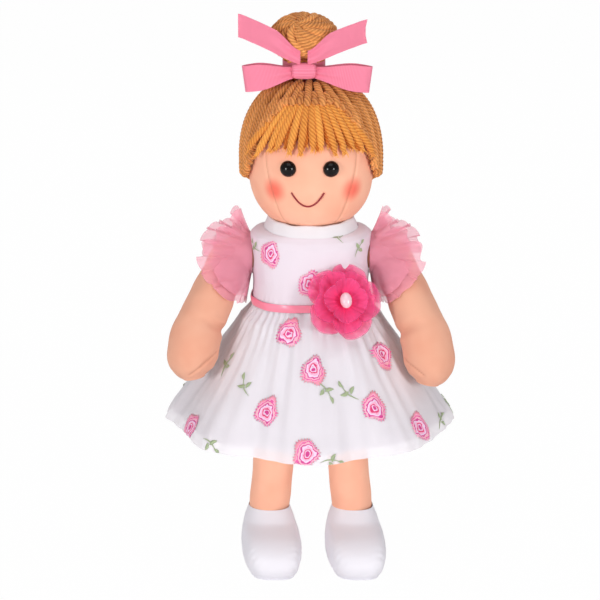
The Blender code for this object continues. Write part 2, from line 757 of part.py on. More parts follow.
def skirt_ring(share, inset, sides=SKIRT_SIDES):
    """A ring of the skirt at a share of its drop, with folds that deepen towards the hem."""
    out_share = between(SKIRT_SHARES, share)[1]
    top_width = BODICE_HALF_WIDTH * BODICE_SHARES[0][1]
    top_depth = BODICE_HALF_DEPTH * BODICE_SHARES[0][2]
    half_width = top_width + (SKIRT_HEM_HALF_WIDTH - SKIRT_FOLD - top_width) * out_share - inset
    half_depth = top_depth + (SKIRT_HEM_HALF_DEPTH - SKIRT_FOLD - top_depth) * out_share - inset
    points = []
    for k in range(sides):
        angle = 2 * math.pi * k / sides
        fold = SKIRT_FOLD * share * share * math.cos(SKIRT_FOLDS * (angle - math.pi / 2))
        power = TORSO_POWER + (2.0 - TORSO_POWER) * share
        c = math.cos(angle)
        s = math.sin(angle)
        x = (half_width + fold) * math.copysign(abs(c) ** (2 / power), c)
        y = (half_depth + fold) * math.copysign(abs(s) ** (2 / power), s)
        lift = SKIRT_HEM_LIFT * share * share * c * c
        points.append(Vector((x, y, WAIST_Z - GAP - SKIRT_DROP * share + lift)))
    return points


def build_skirt(pivot, net, cotton):
    rings = [skirt_ring(1 - k / SKIRT_ROWS, 0.0) for k in range(SKIRT_ROWS + 1)]
    wall(finish(loft(rings), "skirt_overlay", pivot, net), NET_WALL)
    longest = 1 - LINING_SHORTER / SKIRT_DROP
    inset = NET_WALL + LAYER_GAP
    rings = [skirt_ring(longest * (1 - k / LINING_ROWS), inset) for k in range(LINING_ROWS + 1)]
    wall(finish(loft(rings), "skirt_lining", pivot, cotton), DRESS_WALL)


# Arms
def arm_station(position):
    """Centre and radius at a position along the left arm, counted in rows of its table."""
    low = min(int(position), len(ARM_SHARES) - 2)
    t = position - low
    out, forward, down, size = [a + (b - a) * t for a, b in zip(ARM_SHARES[low], ARM_SHARES[low + 1])]
    centre = Vector((ARM_X + ARM_OUT * out, -ARM_FORWARD * forward, SHOULDER_Z - ARM_DROP * down))
    return centre, ARM_RADIUS * size


def arm_rings(sign):
    """Rings from the arm's mouth at the torso, through the armhole, to the hand."""
    across = Vector((0, 0, 1))
    rim_share = (SHOULDER_Z - STUB_RADIUS - TORSO_BOTTOM_Z) / TORSO_HEIGHT
    root_x = TORSO_HALF_WIDTH * between(TORSO_SHARES, rim_share)[1] + GAP
    mouth = Vector((root_x, 0, SHOULDER_Z))
    rings = [ring_round(mouth, Vector((1, 0, 0)), across, STUB_RADIUS, LIMB_SIDES)]
    last = len(ARM_SHARES) - 1
    for k in range(last + 1):
        centre, radius = arm_station(k)
        if k == 0:
            along = Vector((1, 0, 0))
        else:
            along = arm_station(min(k + 1, last))[0] - arm_station(k - 1)[0]
        start = across + Vector((1, 0, 0)) * k
        rings.append(ring_round(centre, along.normalized(), start, radius, LIMB_SIDES))
    tip = Vector((ARM_X + ARM_OUT * ARM_SHARES[-1][0], -ARM_FORWARD, SHOULDER_Z - ARM_DROP))
    if sign > 0:
        return rings, tip, mouth
    mirror = Matrix.Scale(-1, 4, (1, 0, 0))
    return [[mirror @ p for p in reversed(ring)] for ring in rings], mirror @ tip, mirror @ mouth


def build_arm(side, sign, pivot, cloth, stuffing):
    rings, tip, mouth = arm_rings(sign)
    wall(finish(loft(rings, end=tip), "arm_skin_" + side, pivot, cloth), SKIN_WALL)
    finish(shrink(loft(rings, start=mouth, end=tip), FILL_INSET), "arm_filling_" + side, pivot, stuffing)


def clear_of_arm(point):
    """Push a point of the frill out until it lies outside the left arm."""
    steps = STATIONS_PER_ROW * (len(ARM_SHARES) - 1)
    for k in range(steps + 1):
        centre, radius = arm_station(k / STATIONS_PER_ROW)
        away = point - centre
        least = radius + FRILL_EASE
        if away.length < least:
            point = centre + away.normalized() * least
    return point


def frill_edge(angle):
    """Where the left frill's free edge lies, at an angle round the shoulder: 90 degrees is up."""
    up = max(0.0, math.sin(angle))
    down = max(0.0, -math.sin(angle))
    level = math.cos(angle) ** 2
    out = FRILL_FRONT_OUT * level + FRILL_TOP_OUT * up * up + FRILL_LOW_OUT * down * down
    reach = FRILL_FRONT_REACH * level + FRILL_TOP_RISE * up * up + FRILL_LOW_DROP * down * down
    wave = FRILL_WAVE * math.cos(FRILL_WAVES * angle)
    return ARM_X + out, reach + wave


def build_frill(side, sign, pivot, net):
    """A gathered frill round the armhole that lies over the arm and stands up at the shoulder."""
    root_x = ARM_X + GAP
    root_radius = STUB_RADIUS + FRILL_EASE
    rings = []
    for row in range(FRILL_ROWS + 1):
        t = row / FRILL_ROWS
        ring = []
        for k in range(FRILL_SIDES):
            angle = 2 * math.pi * k / FRILL_SIDES
            edge_x, edge_reach = frill_edge(angle)
            radius = root_radius + (edge_reach - root_radius) * t
            x = root_x + (edge_x - root_x) * t
            point = Vector((x, -radius * math.cos(angle), SHOULDER_Z + radius * math.sin(angle)))
            point = clear_of_arm(point)
            point.x = max(point.x, root_x)
            point.x *= sign
            ring.append(point)
        rings.append(ring if sign > 0 else ring[::-1])
    wall(finish(loft(rings), "sleeve_frill_" + side, pivot, net), NET_WALL)


# Legs and shoes
def leg_rings(sign):
    """Level rings of the leg from its domed top to the shoe's opening."""
    rings = []
    for k in range(1, DOME_STEPS + 1):
        slope = math.pi / 2 * (1 - k / DOME_STEPS)
        centre = (sign * HIP_X, 0, HIP_Z + LEG_RADIUS * math.sin(slope))
        rings.append(oval(centre, LEG_RADIUS * math.cos(slope), LEG_RADIUS * math.cos(slope), LIMB_SIDES))
    for k in range(1, LEG_STEPS + 1):
        t = k / LEG_STEPS
        centre = (sign * (HIP_X + (ANKLE_X - HIP_X) * t), 0, HIP_Z + (ANKLE_Z - HIP_Z) * t)
        radius = LEG_RADIUS + (ANKLE_RADIUS - LEG_RADIUS) * t
        rings.append(oval(centre, radius, radius, LIMB_SIDES))
    return rings


def shoe_rings(sign, top_z):
    """Level rings of the shoe from its opening down to the sole."""
    rings = [oval((sign * ANKLE_X, 0, top_z), ANKLE_RADIUS, ANKLE_RADIUS, LIMB_SIDES)]
    for height, width, toe, heel in SHOE_SHARES:
        front = -SHOE_TOE * toe
        back = SHOE_HEEL * heel
        half_width = SHOE_HALF_WIDTH * width
        middle = (front + back) / 2
        centre = (sign * ANKLE_X, middle, top_z * height)
        ring = oval(centre, half_width, (back - front) / 2, LIMB_SIDES, TORSO_POWER)
        for point in ring:
            point.x += TOE_TURN * max(0.0, -point.y / SHOE_TOE)
        rings.append(ring)
    return rings


def build_leg(side, sign, pivot, cloth, satin, stuffing):
    leg = leg_rings(sign)
    shoe = shoe_rings(sign, ANKLE_Z - GAP)
    top = Vector((sign * HIP_X, 0, HIP_Z + LEG_RADIUS))
    foot_y = sum(p.y for p in shoe[-1]) / LIMB_SIDES
    foot = Vector((sign * ANKLE_X, foot_y, 0))
    wall(finish(loft(leg[::-1], end=top), "leg_skin_" + side, pivot, cloth), SKIN_WALL)
    wall(finish(loft(shoe[::-1], start=foot), "shoe_" + side, pivot, satin), SKIN_WALL)
    whole = (leg + shoe[1:])[::-1]
    finish(shrink(loft(whole, start=foot, end=top), FILL_INSET), "leg_filling_" + side, pivot, stuffing)


def build_hip_web(pivot, cloth):
    """The fold of skin cloth under the body seam to which both leg tops are sewn."""
    half = HIP_X - LEG_RADIUS - GAP
    radius = LEG_RADIUS - GAP
    profile = [(0.0, -half), (radius, -half), (radius, half), (0.0, half)]
    place = facing(Vector((0, 0, HIP_Z)), Vector((1, 0, 0)))
    finish(turned(profile, LIMB_SIDES, place), "hip_web", pivot, cloth)


# Flower
def petal_layer(name, place, foot, radius, cup, count, pivot, chiffon):
    """One gathered layer: a disc that cups forward and waves at its edge."""
    rings = []
    for row in range(1, PETAL_ROWS + 1):
        t = row / PETAL_ROWS
        ring = []
        for k in range(PETAL_SIDES):
            angle = 2 * math.pi * k / PETAL_SIDES
            lobe = 1 - PETAL_WAVE / radius * (1 - math.cos(count * angle)) * t
            rise = foot + cup * t * t + PETAL_WAVE * t * t * math.cos(2 * count * angle)
            r = radius * t * lobe
            ring.append(place @ Vector((r * math.cos(angle), r * math.sin(angle), rise)))
        rings.append(ring)
    disc = finish(loft(rings, start=place @ Vector((0, 0, foot))), name, pivot, chiffon)
    wall(disc, PETAL_WALL)


def build_flower(pivot, chiffon, pearl, felt):
    level = bodice_ring(FLOWER_HEIGHT_SHARE)
    front = min(level, key=lambda p: abs(p.x - FLOWER_X) + p.y)
    turn = Matrix.Rotation(FLOWER_TURN, 3, "Z")
    normal = turn @ Vector((0, -math.cos(FLOWER_TILT), math.sin(FLOWER_TILT)))
    seat = Vector((FLOWER_X, front.y, WAIST_Z + FLOWER_ABOVE_WAIST)) + normal * FLOWER_SEAT
    place = facing(seat, normal)
    wide = FLOWER_BASE_RADIUS
    profile = [(0.0, 0.0), (wide / 2, 0.0), (wide, FLOWER_BASE_LENGTH), (0.0, FLOWER_BASE_LENGTH)]
    finish(turned(profile, SMALL_SIDES, place), "flower_base", pivot, felt)
    foot = FLOWER_BASE_LENGTH + GAP
    for name, radius, cup, count in (
        ("flower_outer", OUTER_PETAL_RADIUS, OUTER_PETAL_CUP, 3),
        ("flower_middle", MIDDLE_PETAL_RADIUS, MIDDLE_PETAL_CUP, 2),
        ("flower_inner", INNER_PETAL_RADIUS, INNER_PETAL_CUP, 2),
    ):
        petal_layer(name, place, foot, radius, cup, count, pivot, chiffon)
        foot += PETAL_WALL + GAP
    bead_middle = foot + GAP + BEAD_HALF_WIDTH
    bm = bmesh.new()
    bmesh.ops.create_uvsphere(bm, u_segments=SMALL_SIDES, v_segments=SMALL_SIDES // 2 + 2, radius=1)
    bmesh.ops.scale(bm, vec=(BEAD_HALF_WIDTH, BEAD_HALF_LENGTH, BEAD_HALF_WIDTH), verts=bm.verts)
    bmesh.ops.translate(bm, vec=(0, 0, bead_middle), verts=bm.verts)
    bmesh.ops.transform(bm, matrix=place, verts=bm.verts)
    finish(bm, "flower_bead", pivot, pearl)


def build_doll():
    skin = paint("skin_velour", (0.86, 0.56, 0.42), 0.9)
    stuffing = paint("stuffing", (0.9, 0.9, 0.88), 1.0)
    yarn = paint("yarn", (0.62, 0.3, 0.1), 0.95)
    light_yarn = paint("fringe_yarn", (0.76, 0.4, 0.13), 0.95)
    ribbon = paint("grosgrain", (0.8, 0.28, 0.45), 0.6)
    satin_ribbon = paint("satin_ribbon", (0.85, 0.3, 0.5), 0.4)
    cotton = paint("white_cotton", (0.9, 0.9, 0.92), 0.85)
    net = paint("embroidered_net", (0.93, 0.92, 0.95), 0.8)
    frill_net = paint("pink_net", (0.9, 0.45, 0.62), 0.8)
    satin = paint("white_satin", (0.92, 0.92, 0.94), 0.4)
    bead = paint("black_bead", (0.01, 0.01, 0.01), 0.1)
    plastic = paint("washer_plastic", (0.85, 0.85, 0.85), 0.5)
    thread = paint("mouth_thread", (0.35, 0.02, 0.03), 0.8)
    chiffon = paint("pink_chiffon", (0.85, 0.1, 0.35), 0.75)
    pearl = paint("pearl", (0.95, 0.75, 0.8), 0.2)
    felt = paint("felt", (0.85, 0.3, 0.5), 1.0)
    tape = paint("closure_tape", (0.92, 0.92, 0.92), 0.9)

    torso = joint_empty("torso_frame", 0, 0, WAIST_Z)
    build_torso(torso, skin, stuffing)
    build_collar(torso, cotton)
    build_bodice(torso, cotton, tape)
    build_waist_ribbon(torso, satin_ribbon)
    build_skirt(torso, net, cotton)
    build_flower(torso, chiffon, pearl, felt)

    build_neck(joint_empty("head_turn", 0, 0, TORSO_TOP_Z), skin)
    nod = joint_empty("head_nod", 0, 0, NOD_Z)
    head_skin, head_filling = build_head(nod, skin, stuffing)
    build_eyes(nod, head_skin, head_filling, bead, plastic)
    build_mouth(nod, thread)
    build_hair(nod, yarn, light_yarn)
    build_bow(nod, ribbon)

    hips = joint_empty("hips", 0, 0, HIP_Z)
    build_hip_web(hips, skin)
    for side, sign in (("right", -1), ("left", 1)):
        shoulder = joint_empty("shoulder_" + side, sign * ARM_X, 0, SHOULDER_Z)
        build_arm(side, sign, shoulder, skin, stuffing)
        build_frill(side, sign, shoulder, frill_net)
        hip = joint_empty("hip_" + side, sign * HIP_X, 0, HIP_Z)
        build_leg(side, sign, hip, skin, satin, stuffing)


clear_scene()
build_doll()
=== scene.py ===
# %% [markdown]
# # A rag doll in a party dress
# This lesson dresses a stuffed doll: soft cloth skins, hair of twisted yarn, a ribbon bow, a sheer
# embroidered dress, net frills and satin shoes. The solids loaded first fix every size and place,
# and they carry the joints. Each cell below makes one thing that lies where its solid lies.

# %% Load the solids
import math
import random

import bpy
from mathutils import Matrix, Vector, noise
from mathutils.bvhtree import BVHTree
from mathutils.kdtree import KDTree


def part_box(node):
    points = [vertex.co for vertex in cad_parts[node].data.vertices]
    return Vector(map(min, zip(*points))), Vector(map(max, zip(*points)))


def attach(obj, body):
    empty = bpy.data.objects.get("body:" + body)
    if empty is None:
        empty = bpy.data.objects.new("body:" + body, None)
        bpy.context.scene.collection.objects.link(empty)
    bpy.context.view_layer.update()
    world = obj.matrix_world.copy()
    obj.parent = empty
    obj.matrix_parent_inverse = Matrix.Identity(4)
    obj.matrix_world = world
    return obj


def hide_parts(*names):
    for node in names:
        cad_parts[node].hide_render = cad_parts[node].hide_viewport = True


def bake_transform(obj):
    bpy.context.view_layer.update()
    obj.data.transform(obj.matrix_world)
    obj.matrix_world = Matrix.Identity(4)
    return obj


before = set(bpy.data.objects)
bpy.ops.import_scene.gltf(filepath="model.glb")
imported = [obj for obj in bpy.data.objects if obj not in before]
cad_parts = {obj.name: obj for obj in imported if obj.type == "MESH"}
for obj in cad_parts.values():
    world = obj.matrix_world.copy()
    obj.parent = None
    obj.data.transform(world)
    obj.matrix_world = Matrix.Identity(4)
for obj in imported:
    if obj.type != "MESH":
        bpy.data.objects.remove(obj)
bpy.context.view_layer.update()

MM = 0.001
random.seed(7)
bpy.ops.object.select_all(action="DESELECT")

# %% [markdown]
# ## One helper for every soft form
# A stuffed limb, a skirt and a head are all a sheet that is rolled up. So they start as a flat grid,
# and a rule says where the point at shares (u, v) of the grid goes. Where the two side edges meet
# they are merged, and a row that shrinks to a point becomes a pole. The grid brings its own UV map,
# which later lets a weave follow the cloth.


# %% Grid, wall and finish helpers
def current(name):
    """Name the object that an operator just made."""
    piece = bpy.context.active_object
    piece.name = name
    piece.data.name = name
    return piece


def pick(piece):
    """Select one object alone and make it active."""
    bpy.ops.object.select_all(action="DESELECT")
    piece.select_set(True)
    bpy.context.view_layer.objects.active = piece


def edit_all(piece, *steps):
    """Run edit-mode steps on a whole mesh."""
    pick(piece)
    bpy.ops.object.mode_set(mode="EDIT")
    bpy.ops.mesh.select_all(action="SELECT")
    for step in steps:
        step()
    bpy.ops.object.mode_set(mode="OBJECT")


def merge_doubles():
    bpy.ops.mesh.remove_doubles(threshold=0.002 * MM)


def face_out():
    bpy.ops.mesh.normals_make_consistent(inside=False)


def fill_ends():
    bpy.ops.mesh.fill_holes(sides=0)


def wrap(name, columns, rows, rule, closed=True):
    """Send a grid's points to rule(u, v) and merge what meets."""
    bpy.ops.mesh.primitive_grid_add(x_subdivisions=columns, y_subdivisions=rows, size=1)
    piece = current(name)
    for vert in piece.data.vertices:
        vert.co = rule(vert.co.x + 0.5, vert.co.y + 0.5)
    if closed:
        edit_all(piece, merge_doubles, face_out)
    return piece


def apply_all(piece):
    pick(piece)
    for modifier in list(piece.modifiers):
        bpy.ops.object.modifier_apply(modifier=modifier.name)


def thicken(piece, thickness, offset=0.0):
    """Give a sheet its thickness."""
    solid = piece.modifiers.new("wall", "SOLIDIFY")
    solid.thickness = thickness
    solid.offset = offset
    apply_all(piece)


def dress(piece, material, body, slot, *nodes):
    """Smooth a finished piece, paint it, hang it on its body and let it stand for its solids."""
    pick(piece)
    bpy.ops.object.transform_apply(location=True, rotation=True, scale=True)
    bpy.ops.object.shade_smooth_by_angle(angle=math.radians(50))
    piece.data.materials.clear()
    piece.data.materials.append(material)
    if isinstance(body, str):
        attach(piece, body)
    if nodes:
        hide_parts(*nodes)
    return piece


def join(pieces, name):
    bpy.ops.object.select_all(action="DESELECT")
    for piece in pieces:
        piece.select_set(True)
    bpy.context.view_layer.objects.active = pieces[0]
    bpy.ops.object.join()
    return current(name)


def open_curve(name):
    """An empty curve in space; its splines are added next."""
    bpy.ops.curve.primitive_bezier_curve_add()
    piece = current(name)
    piece.data.splines.clear()
    piece.data.dimensions = "3D"
    return piece


def to_mesh(curve, name):
    pick(curve)
    bpy.ops.object.convert(target="MESH")
    return current(name)


def smooth_step(low, high, value):
    t = min(max((value - low) / (high - low), 0.0), 1.0)
    return t * t * (3 - 2 * t)


def tree_of(piece):
    """A search tree over the piece's faces, to look through a pixel or to find the nearest point."""
    faces = [face.vertices for face in piece.data.polygons]
    return BVHTree.FromPolygons([vert.co for vert in piece.data.vertices], faces)


def table(rows, key):
    """Read a table by its first column, straight between its rows."""
    if key <= rows[0][0]:
        return list(rows[0])
    for low, high in zip(rows, rows[1:]):
        if key <= high[0]:
            t = (key - low[0]) / (high[0] - low[0])
            return [a + (b - a) * t for a, b in zip(low, high)]
    return list(rows[-1])


def flow(rows, key):
    """Read a table by its first column on a smooth curve through its rows."""
    last = len(rows) - 1
    spot = next((k for k in range(last) if key <= rows[k + 1][0]), last - 1)
    p = [rows[min(max(spot + d, 0), last)] for d in (-1, 0, 1, 2)]
    t = min(max((key - p[1][0]) / (p[2][0] - p[1][0]), 0.0), 1.0)
    found = []
    for a, b, c, d in zip(*p):
        bend = 3 * (b - c) + d - a
        found.append(b + 0.5 * t * (c - a + t * (2 * a - 5 * b + 4 * c - d + t * bend)))
    return found


def outward(point):
    """The level direction from the doll's axis to a point."""
    return Vector((point.x, point.y, 0)).normalized()


def power_oval(angle, power):
    """A rounded square's unit point at an angle: power 2 is a circle."""
    c, s = math.cos(angle), math.sin(angle)
    x = math.copysign(abs(c) ** (2 / power), c)
    y = math.copysign(abs(s) ** (2 / power), s)
    return x, y


def lumps(point, size, depth):
    """Soft unevenness of a stuffed or hanging piece."""
    return depth * noise.noise(point / size)


# %% [markdown]
# ## The camera and the studio
# The photograph is a straight front view from a little above, so the camera looks along +Y and down
# 15 degrees, through a long lens. Two softboxes stand to the left and right of it, because each bead
# eye shows two small lights side by side. The floor and the backdrop are pale.

# %% Camera
CAMERA_TARGET = Vector((-6.8 * MM, 0, 171.1 * MM))
CAMERA_DISTANCE = 1.5
CAMERA_ELEVATION = math.radians(15)
LENS = 144.0
SENSOR = 36.0
PHOTO = 600
toward = Vector((0, -math.cos(CAMERA_ELEVATION), math.sin(CAMERA_ELEVATION)))
bpy.ops.object.camera_add(location=CAMERA_TARGET + toward * CAMERA_DISTANCE)
camera = bpy.context.active_object
camera.rotation_euler = toward.to_track_quat("Z", "Y").to_euler()
camera.data.lens = LENS
camera.data.sensor_width = SENSOR
bpy.context.scene.camera = camera


def sight(pixel):
    """The direction from the camera through a pixel of the photograph."""
    half = PHOTO / 2
    reach = LENS / SENSOR * PHOTO
    right = Vector((1, 0, 0))
    up = toward.cross(right)
    return (right * (pixel[0] - half) + up * (half - pixel[1]) - toward * reach).normalized()


print("camera at", [round(v, 3) for v in camera.location])

# %% Studio
bpy.context.scene.view_settings.view_transform = "Standard"


def studio_material(name, colour, seen_white):
    """A pale surface that the camera sees as white, apart from the shadow on it."""
    material = bpy.data.materials.new(name)
    material.use_nodes = True
    nodes, links = material.node_tree.nodes, material.node_tree.links
    shader = nodes["Principled BSDF"]
    shader.inputs["Base Color"].default_value = (*colour, 1)
    shader.inputs["Roughness"].default_value = 0.9
    glow = nodes.new("ShaderNodeEmission")
    path = nodes.new("ShaderNodeLightPath")
    mix = nodes.new("ShaderNodeMixShader")
    share = nodes.new("ShaderNodeMath")
    share.operation = "MULTIPLY"
    share.inputs[1].default_value = seen_white
    links.new(path.outputs["Is Camera Ray"], share.inputs[0])
    links.new(share.outputs[0], mix.inputs[0])
    links.new(shader.outputs[0], mix.inputs[1])
    links.new(glow.outputs[0], mix.inputs[2])
    links.new(mix.outputs[0], nodes["Material Output"].inputs["Surface"])
    return material


bpy.ops.mesh.primitive_plane_add(size=8)
floor = current("floor")
floor.data.materials.append(studio_material("pale_floor", (0.93, 0.93, 0.93), 0.985))

world = bpy.data.worlds.new("pale_room")
bpy.context.scene.world = world
world.use_nodes = True
sky = world.node_tree
sky.nodes["Background"].inputs["Color"].default_value = (1, 1, 1, 1)
sky.nodes["Background"].inputs["Strength"].default_value = 0.36
seen = sky.nodes.new("ShaderNodeBackground")
path = sky.nodes.new("ShaderNodeLightPath")
either = sky.nodes.new("ShaderNodeMath")
either.operation = "MAXIMUM"
blend_in = sky.nodes.new("ShaderNodeMixShader")
sky.links.new(path.outputs["Is Camera Ray"], either.inputs[0])
sky.links.new(path.outputs["Is Transmission Ray"], either.inputs[1])
sky.links.new(either.outputs[0], blend_in.inputs[0])
sky.links.new(sky.nodes["Background"].outputs[0], blend_in.inputs[1])
sky.links.new(seen.outputs[0], blend_in.inputs[2])
sky.links.new(blend_in.outputs[0], sky.nodes["World Output"].inputs["Surface"])


def softbox(azimuth, elevation, distance, size, watts):
    """A square area light that faces the doll's middle."""
    a, e = math.radians(azimuth), math.radians(elevation)
    away = Vector((math.sin(a) * math.cos(e), -math.cos(a) * math.cos(e), math.sin(e)))
    bpy.ops.object.light_add(type="AREA", location=CAMERA_TARGET + away * distance)
    lamp = bpy.context.active_object
    lamp.rotation_euler = away.to_track_quat("Z", "Y").to_euler()
    lamp.data.shape = "SQUARE"
    lamp.data.size = size
    lamp.data.energy = watts
    return lamp


LAMPS = (
    (-38, 7, 1.5, 0.3, 8.5),
    (40, 7, 1.5, 0.3, 8.0),
    (0, 68, 1.6, 1.2, 5.5),
    (180, 35, 1.8, 1.0, 6),
)
for lamp in LAMPS:
    softbox(*lamp)
print("studio: floor, sky and softboxes")

# %% [markdown]
# ## Materials
# Each finish is a small node tree. The helper makes the shader, and the cells that follow add what
# the real cloth shows: pile on the skin, twisted fibre on the yarn, ribs on the ribbon, a weave on
# organza and a noise grain on satin. Object coordinates give the grain where it has no direction,
# and the UV map where it follows the cloth.


# %% Node helpers
def finish(name, colour, roughness, **values):
    """A Principled material with constant values on its own sockets."""
    material = bpy.data.materials.new(name)
    material.use_nodes = True
    shader = material.node_tree.nodes["Principled BSDF"]
    shader.inputs["Base Color"].default_value = (*colour, 1)
    shader.inputs["Roughness"].default_value = roughness
    for socket, value in values.items():
        shader.inputs[socket.replace("_", " ")].default_value = value
    return material


def add(material, kind, **values):
    """Add one node and set its sockets by name, or its properties."""
    node = material.node_tree.nodes.new("ShaderNode" + kind)
    for key, value in values.items():
        if key.replace("_", " ") in node.inputs:
            node.inputs[key.replace("_", " ")].default_value = value
        else:
            setattr(node, key, value)
    return node


def link(material, source, target):
    material.node_tree.links.new(source, target)


def shader_of(material):
    return material.node_tree.nodes["Principled BSDF"]


def bump_from(material, height, strength, distance):
    """Raise the surface by a height from 0 to 1."""
    bump = add(material, "Bump", Strength=strength, Distance=distance)
    link(material, height, bump.inputs["Height"])
    link(material, bump.outputs["Normal"], shader_of(material).inputs["Normal"])


def uv_axes(material):
    """The UV map's two numbers: X along the grid's columns or the yarn, Y across them."""
    split = add(material, "SeparateXYZ")
    link(material, add(material, "TexCoord").outputs["UV"], split.inputs[0])
    return split.outputs["X"], split.outputs["Y"]


def wave_of(material, source, turns, operation="SINE"):
    """A wave of so many turns over a number from 0 to 1."""
    turn = add(material, "Math", operation="MULTIPLY")
    turn.inputs[1].default_value = turns * math.tau
    wave = add(material, "Math", operation=operation)
    link(material, source, turn.inputs[0])
    link(material, turn.outputs[0], wave.inputs[0])
    return wave.outputs[0]


def weigh(material, source, weight, rest):
    """rest + weight * source."""
    both = add(material, "Math", operation="MULTIPLY_ADD")
    both.inputs[1].default_value = weight
    link(material, source, both.inputs[0])
    link(material, rest, both.inputs[2])
    return both.outputs[0]


def tint(material, base, colour, factor):
    """Mix a constant colour over a base by a factor."""
    mix = add(material, "Mix", data_type="RGBA")
    mix.inputs["B"].default_value = (*colour, 1)
    link(material, factor, mix.inputs["Factor"])
    link(material, base, mix.inputs["A"])
    return mix.outputs["Result"]


def grain(material, scale, strength, distance, stretch=(1, 1, 1), coordinates="Object", detail=2.0):
    """A noise bump on the material; stretch draws it out along an axis."""
    where = add(material, "TexCoord")
    place = add(material, "Mapping", Scale=stretch)
    cloud = add(material, "TexNoise", Scale=scale, Detail=detail)
    link(material, where.outputs[coordinates], place.inputs["Vector"])
    link(material, place.outputs["Vector"], cloud.inputs["Vector"])
    bump_from(material, cloud.outputs[0], strength, distance)
    return cloud.outputs[0]


def two_tones(material, factor, dark, light, low=0.3, high=0.7):
    """Colour the material between two tones by a factor from 0 to 1."""
    ramp = add(material, "ValToRGB")
    ramp.color_ramp.elements[0].position = low
    ramp.color_ramp.elements[0].color = (*dark, 1)
    ramp.color_ramp.elements[1].position = high
    ramp.color_ramp.elements[1].color = (*light, 1)
    link(material, factor, ramp.inputs[0])
    link(material, ramp.outputs[0], shader_of(material).inputs["Base Color"])
    return ramp


def weave_bump(material, across, along, strength, distance):
    """Crossed threads on the UV map, as counts over the whole cloth."""
    cross = add(material, "Math", operation="MULTIPLY")
    for k, (axis, count) in enumerate(zip(uv_axes(material), (across, along))):
        link(material, wave_of(material, axis, count), cross.inputs[k])
    bump_from(material, cross.outputs[0], strength, distance)


# %% Skin, a short-pile knit
SKIN_LIGHT = (0.97, 0.50, 0.345)
SKIN_DARK = (0.93, 0.42, 0.28)
SKIN_SEAM = (0.45, 0.16, 0.09)
BLUSH = (0.93, 0.15, 0.10)


def skin(name, blush_at=(), shade=1.0):
    material = finish(name, SKIN_LIGHT, 0.9, Sheen_Weight=0.08, Sheen_Roughness=0.6)
    shader_of(material).inputs["Specular IOR Level"].default_value = 0.2
    grain(material, 1500, 0.25, 0.15 * MM)
    patches = add(material, "TexNoise", Scale=45.0, Detail=2.0)
    where = add(material, "TexCoord")
    link(material, where.outputs["Object"], patches.inputs["Vector"])
    tones = [tuple(part * shade for part in tone) for tone in (SKIN_DARK, SKIN_LIGHT)]
    ramp = two_tones(material, patches.outputs[0], *tones, 0.2, 0.62)
    colour = ramp.outputs[0]
    for spot in blush_at:
        near = add(material, "VectorMath", operation="DISTANCE")
        near.inputs[1].default_value = spot
        link(material, where.outputs["Object"], near.inputs[0])
        fade = add(material, "MapRange", interpolation_type="SMOOTHSTEP")
        fade.inputs["From Min"].default_value = 10.5 * MM
        fade.inputs["From Max"].default_value = 1.5 * MM
        fade.inputs["To Max"].default_value = 0.9
        link(material, near.outputs["Value"], fade.inputs["Value"])
        colour = tint(material, colour, BLUSH, fade.outputs[0])
    seam = add(material, "Attribute", attribute_name="seam")
    colour = tint(material, colour, SKIN_SEAM, seam.outputs["Fac"])
    link(material, colour, shader_of(material).inputs["Base Color"])
    return material


limb_skin = skin("skin_velour")
# The arms take the skin at 0.82 of its brightness: painted shade, as the upper arms lie in the frills'
# shadow.
arm_shaded_skin = skin("arm_velour_painted_shade", (), 0.82)

# %% Yarn, twisted fibre
PLY_POINTS = 15
PLIES = 5


def yarn(name, dark, light):
    material = finish(name, light, 0.95, Sheen_Weight=0.12, Sheen_Roughness=0.5)
    shader_of(material).inputs["Specular IOR Level"].default_value = 0.15
    fibre = grain(material, 1100, 0.45, 0.2 * MM, (1, 1, 1), "Object", 3.0)
    # The cosine round the yarn darkens the colour in the grooves between the plies: painted shade.
    ply = wave_of(material, uv_axes(material)[1], PLIES, "COSINE")
    tone = add(material, "Attribute", attribute_name="tone")
    both = weigh(material, fibre, 0.3, tone.outputs["Fac"])
    groove = weigh(material, ply, 0.22, both)
    two_tones(material, groove, dark, light, 0.1, 1.0)
    return material


top_yarn = yarn("yarn_brown", (0.27, 0.072, 0.014), (0.93, 0.40, 0.125))
fringe_yarn = yarn("yarn_gold", (0.46, 0.105, 0.012), (0.96, 0.44, 0.095))

# %% Ribbons, organza, net, chiffon, satin
satin_ribbon = finish("satin_ribbon", (0.93, 0.25, 0.36), 0.3)
grain(satin_ribbon, 90, 0.5, 0.4 * MM, (1, 1, 0.2))
cotton = finish("white_cotton", (0.93, 0.90, 0.94), 0.9)
collar_cotton = finish("collar_cotton", (0.80, 0.77, 0.81), 0.9)
weave_bump(collar_cotton, 300, 40, 0.2, 0.05 * MM)
weave_bump(cotton, 500, 130, 0.2, 0.06 * MM)
organza = finish("embroidered_net", (0.95, 0.91, 0.96), 0.55, Alpha=0.6, Sheen_Weight=0.1)
weave_bump(organza, 620, 150, 0.35, 0.05 * MM)
organza_bodice = finish("bodice_organza", (0.78, 0.69, 0.76), 0.7)
weave_bump(organza_bodice, 300, 70, 0.3, 0.05 * MM)
tulle = finish("pink_net", (0.95, 0.38, 0.50), 0.8, Alpha=0.38, Sheen_Weight=0.1)
weave_bump(tulle, 420, 60, 0.4, 0.05 * MM)
chiffon = finish("pink_chiffon", (0.93, 0.04, 0.22), 0.8)
grain(chiffon, 900, 0.2, 0.1 * MM)
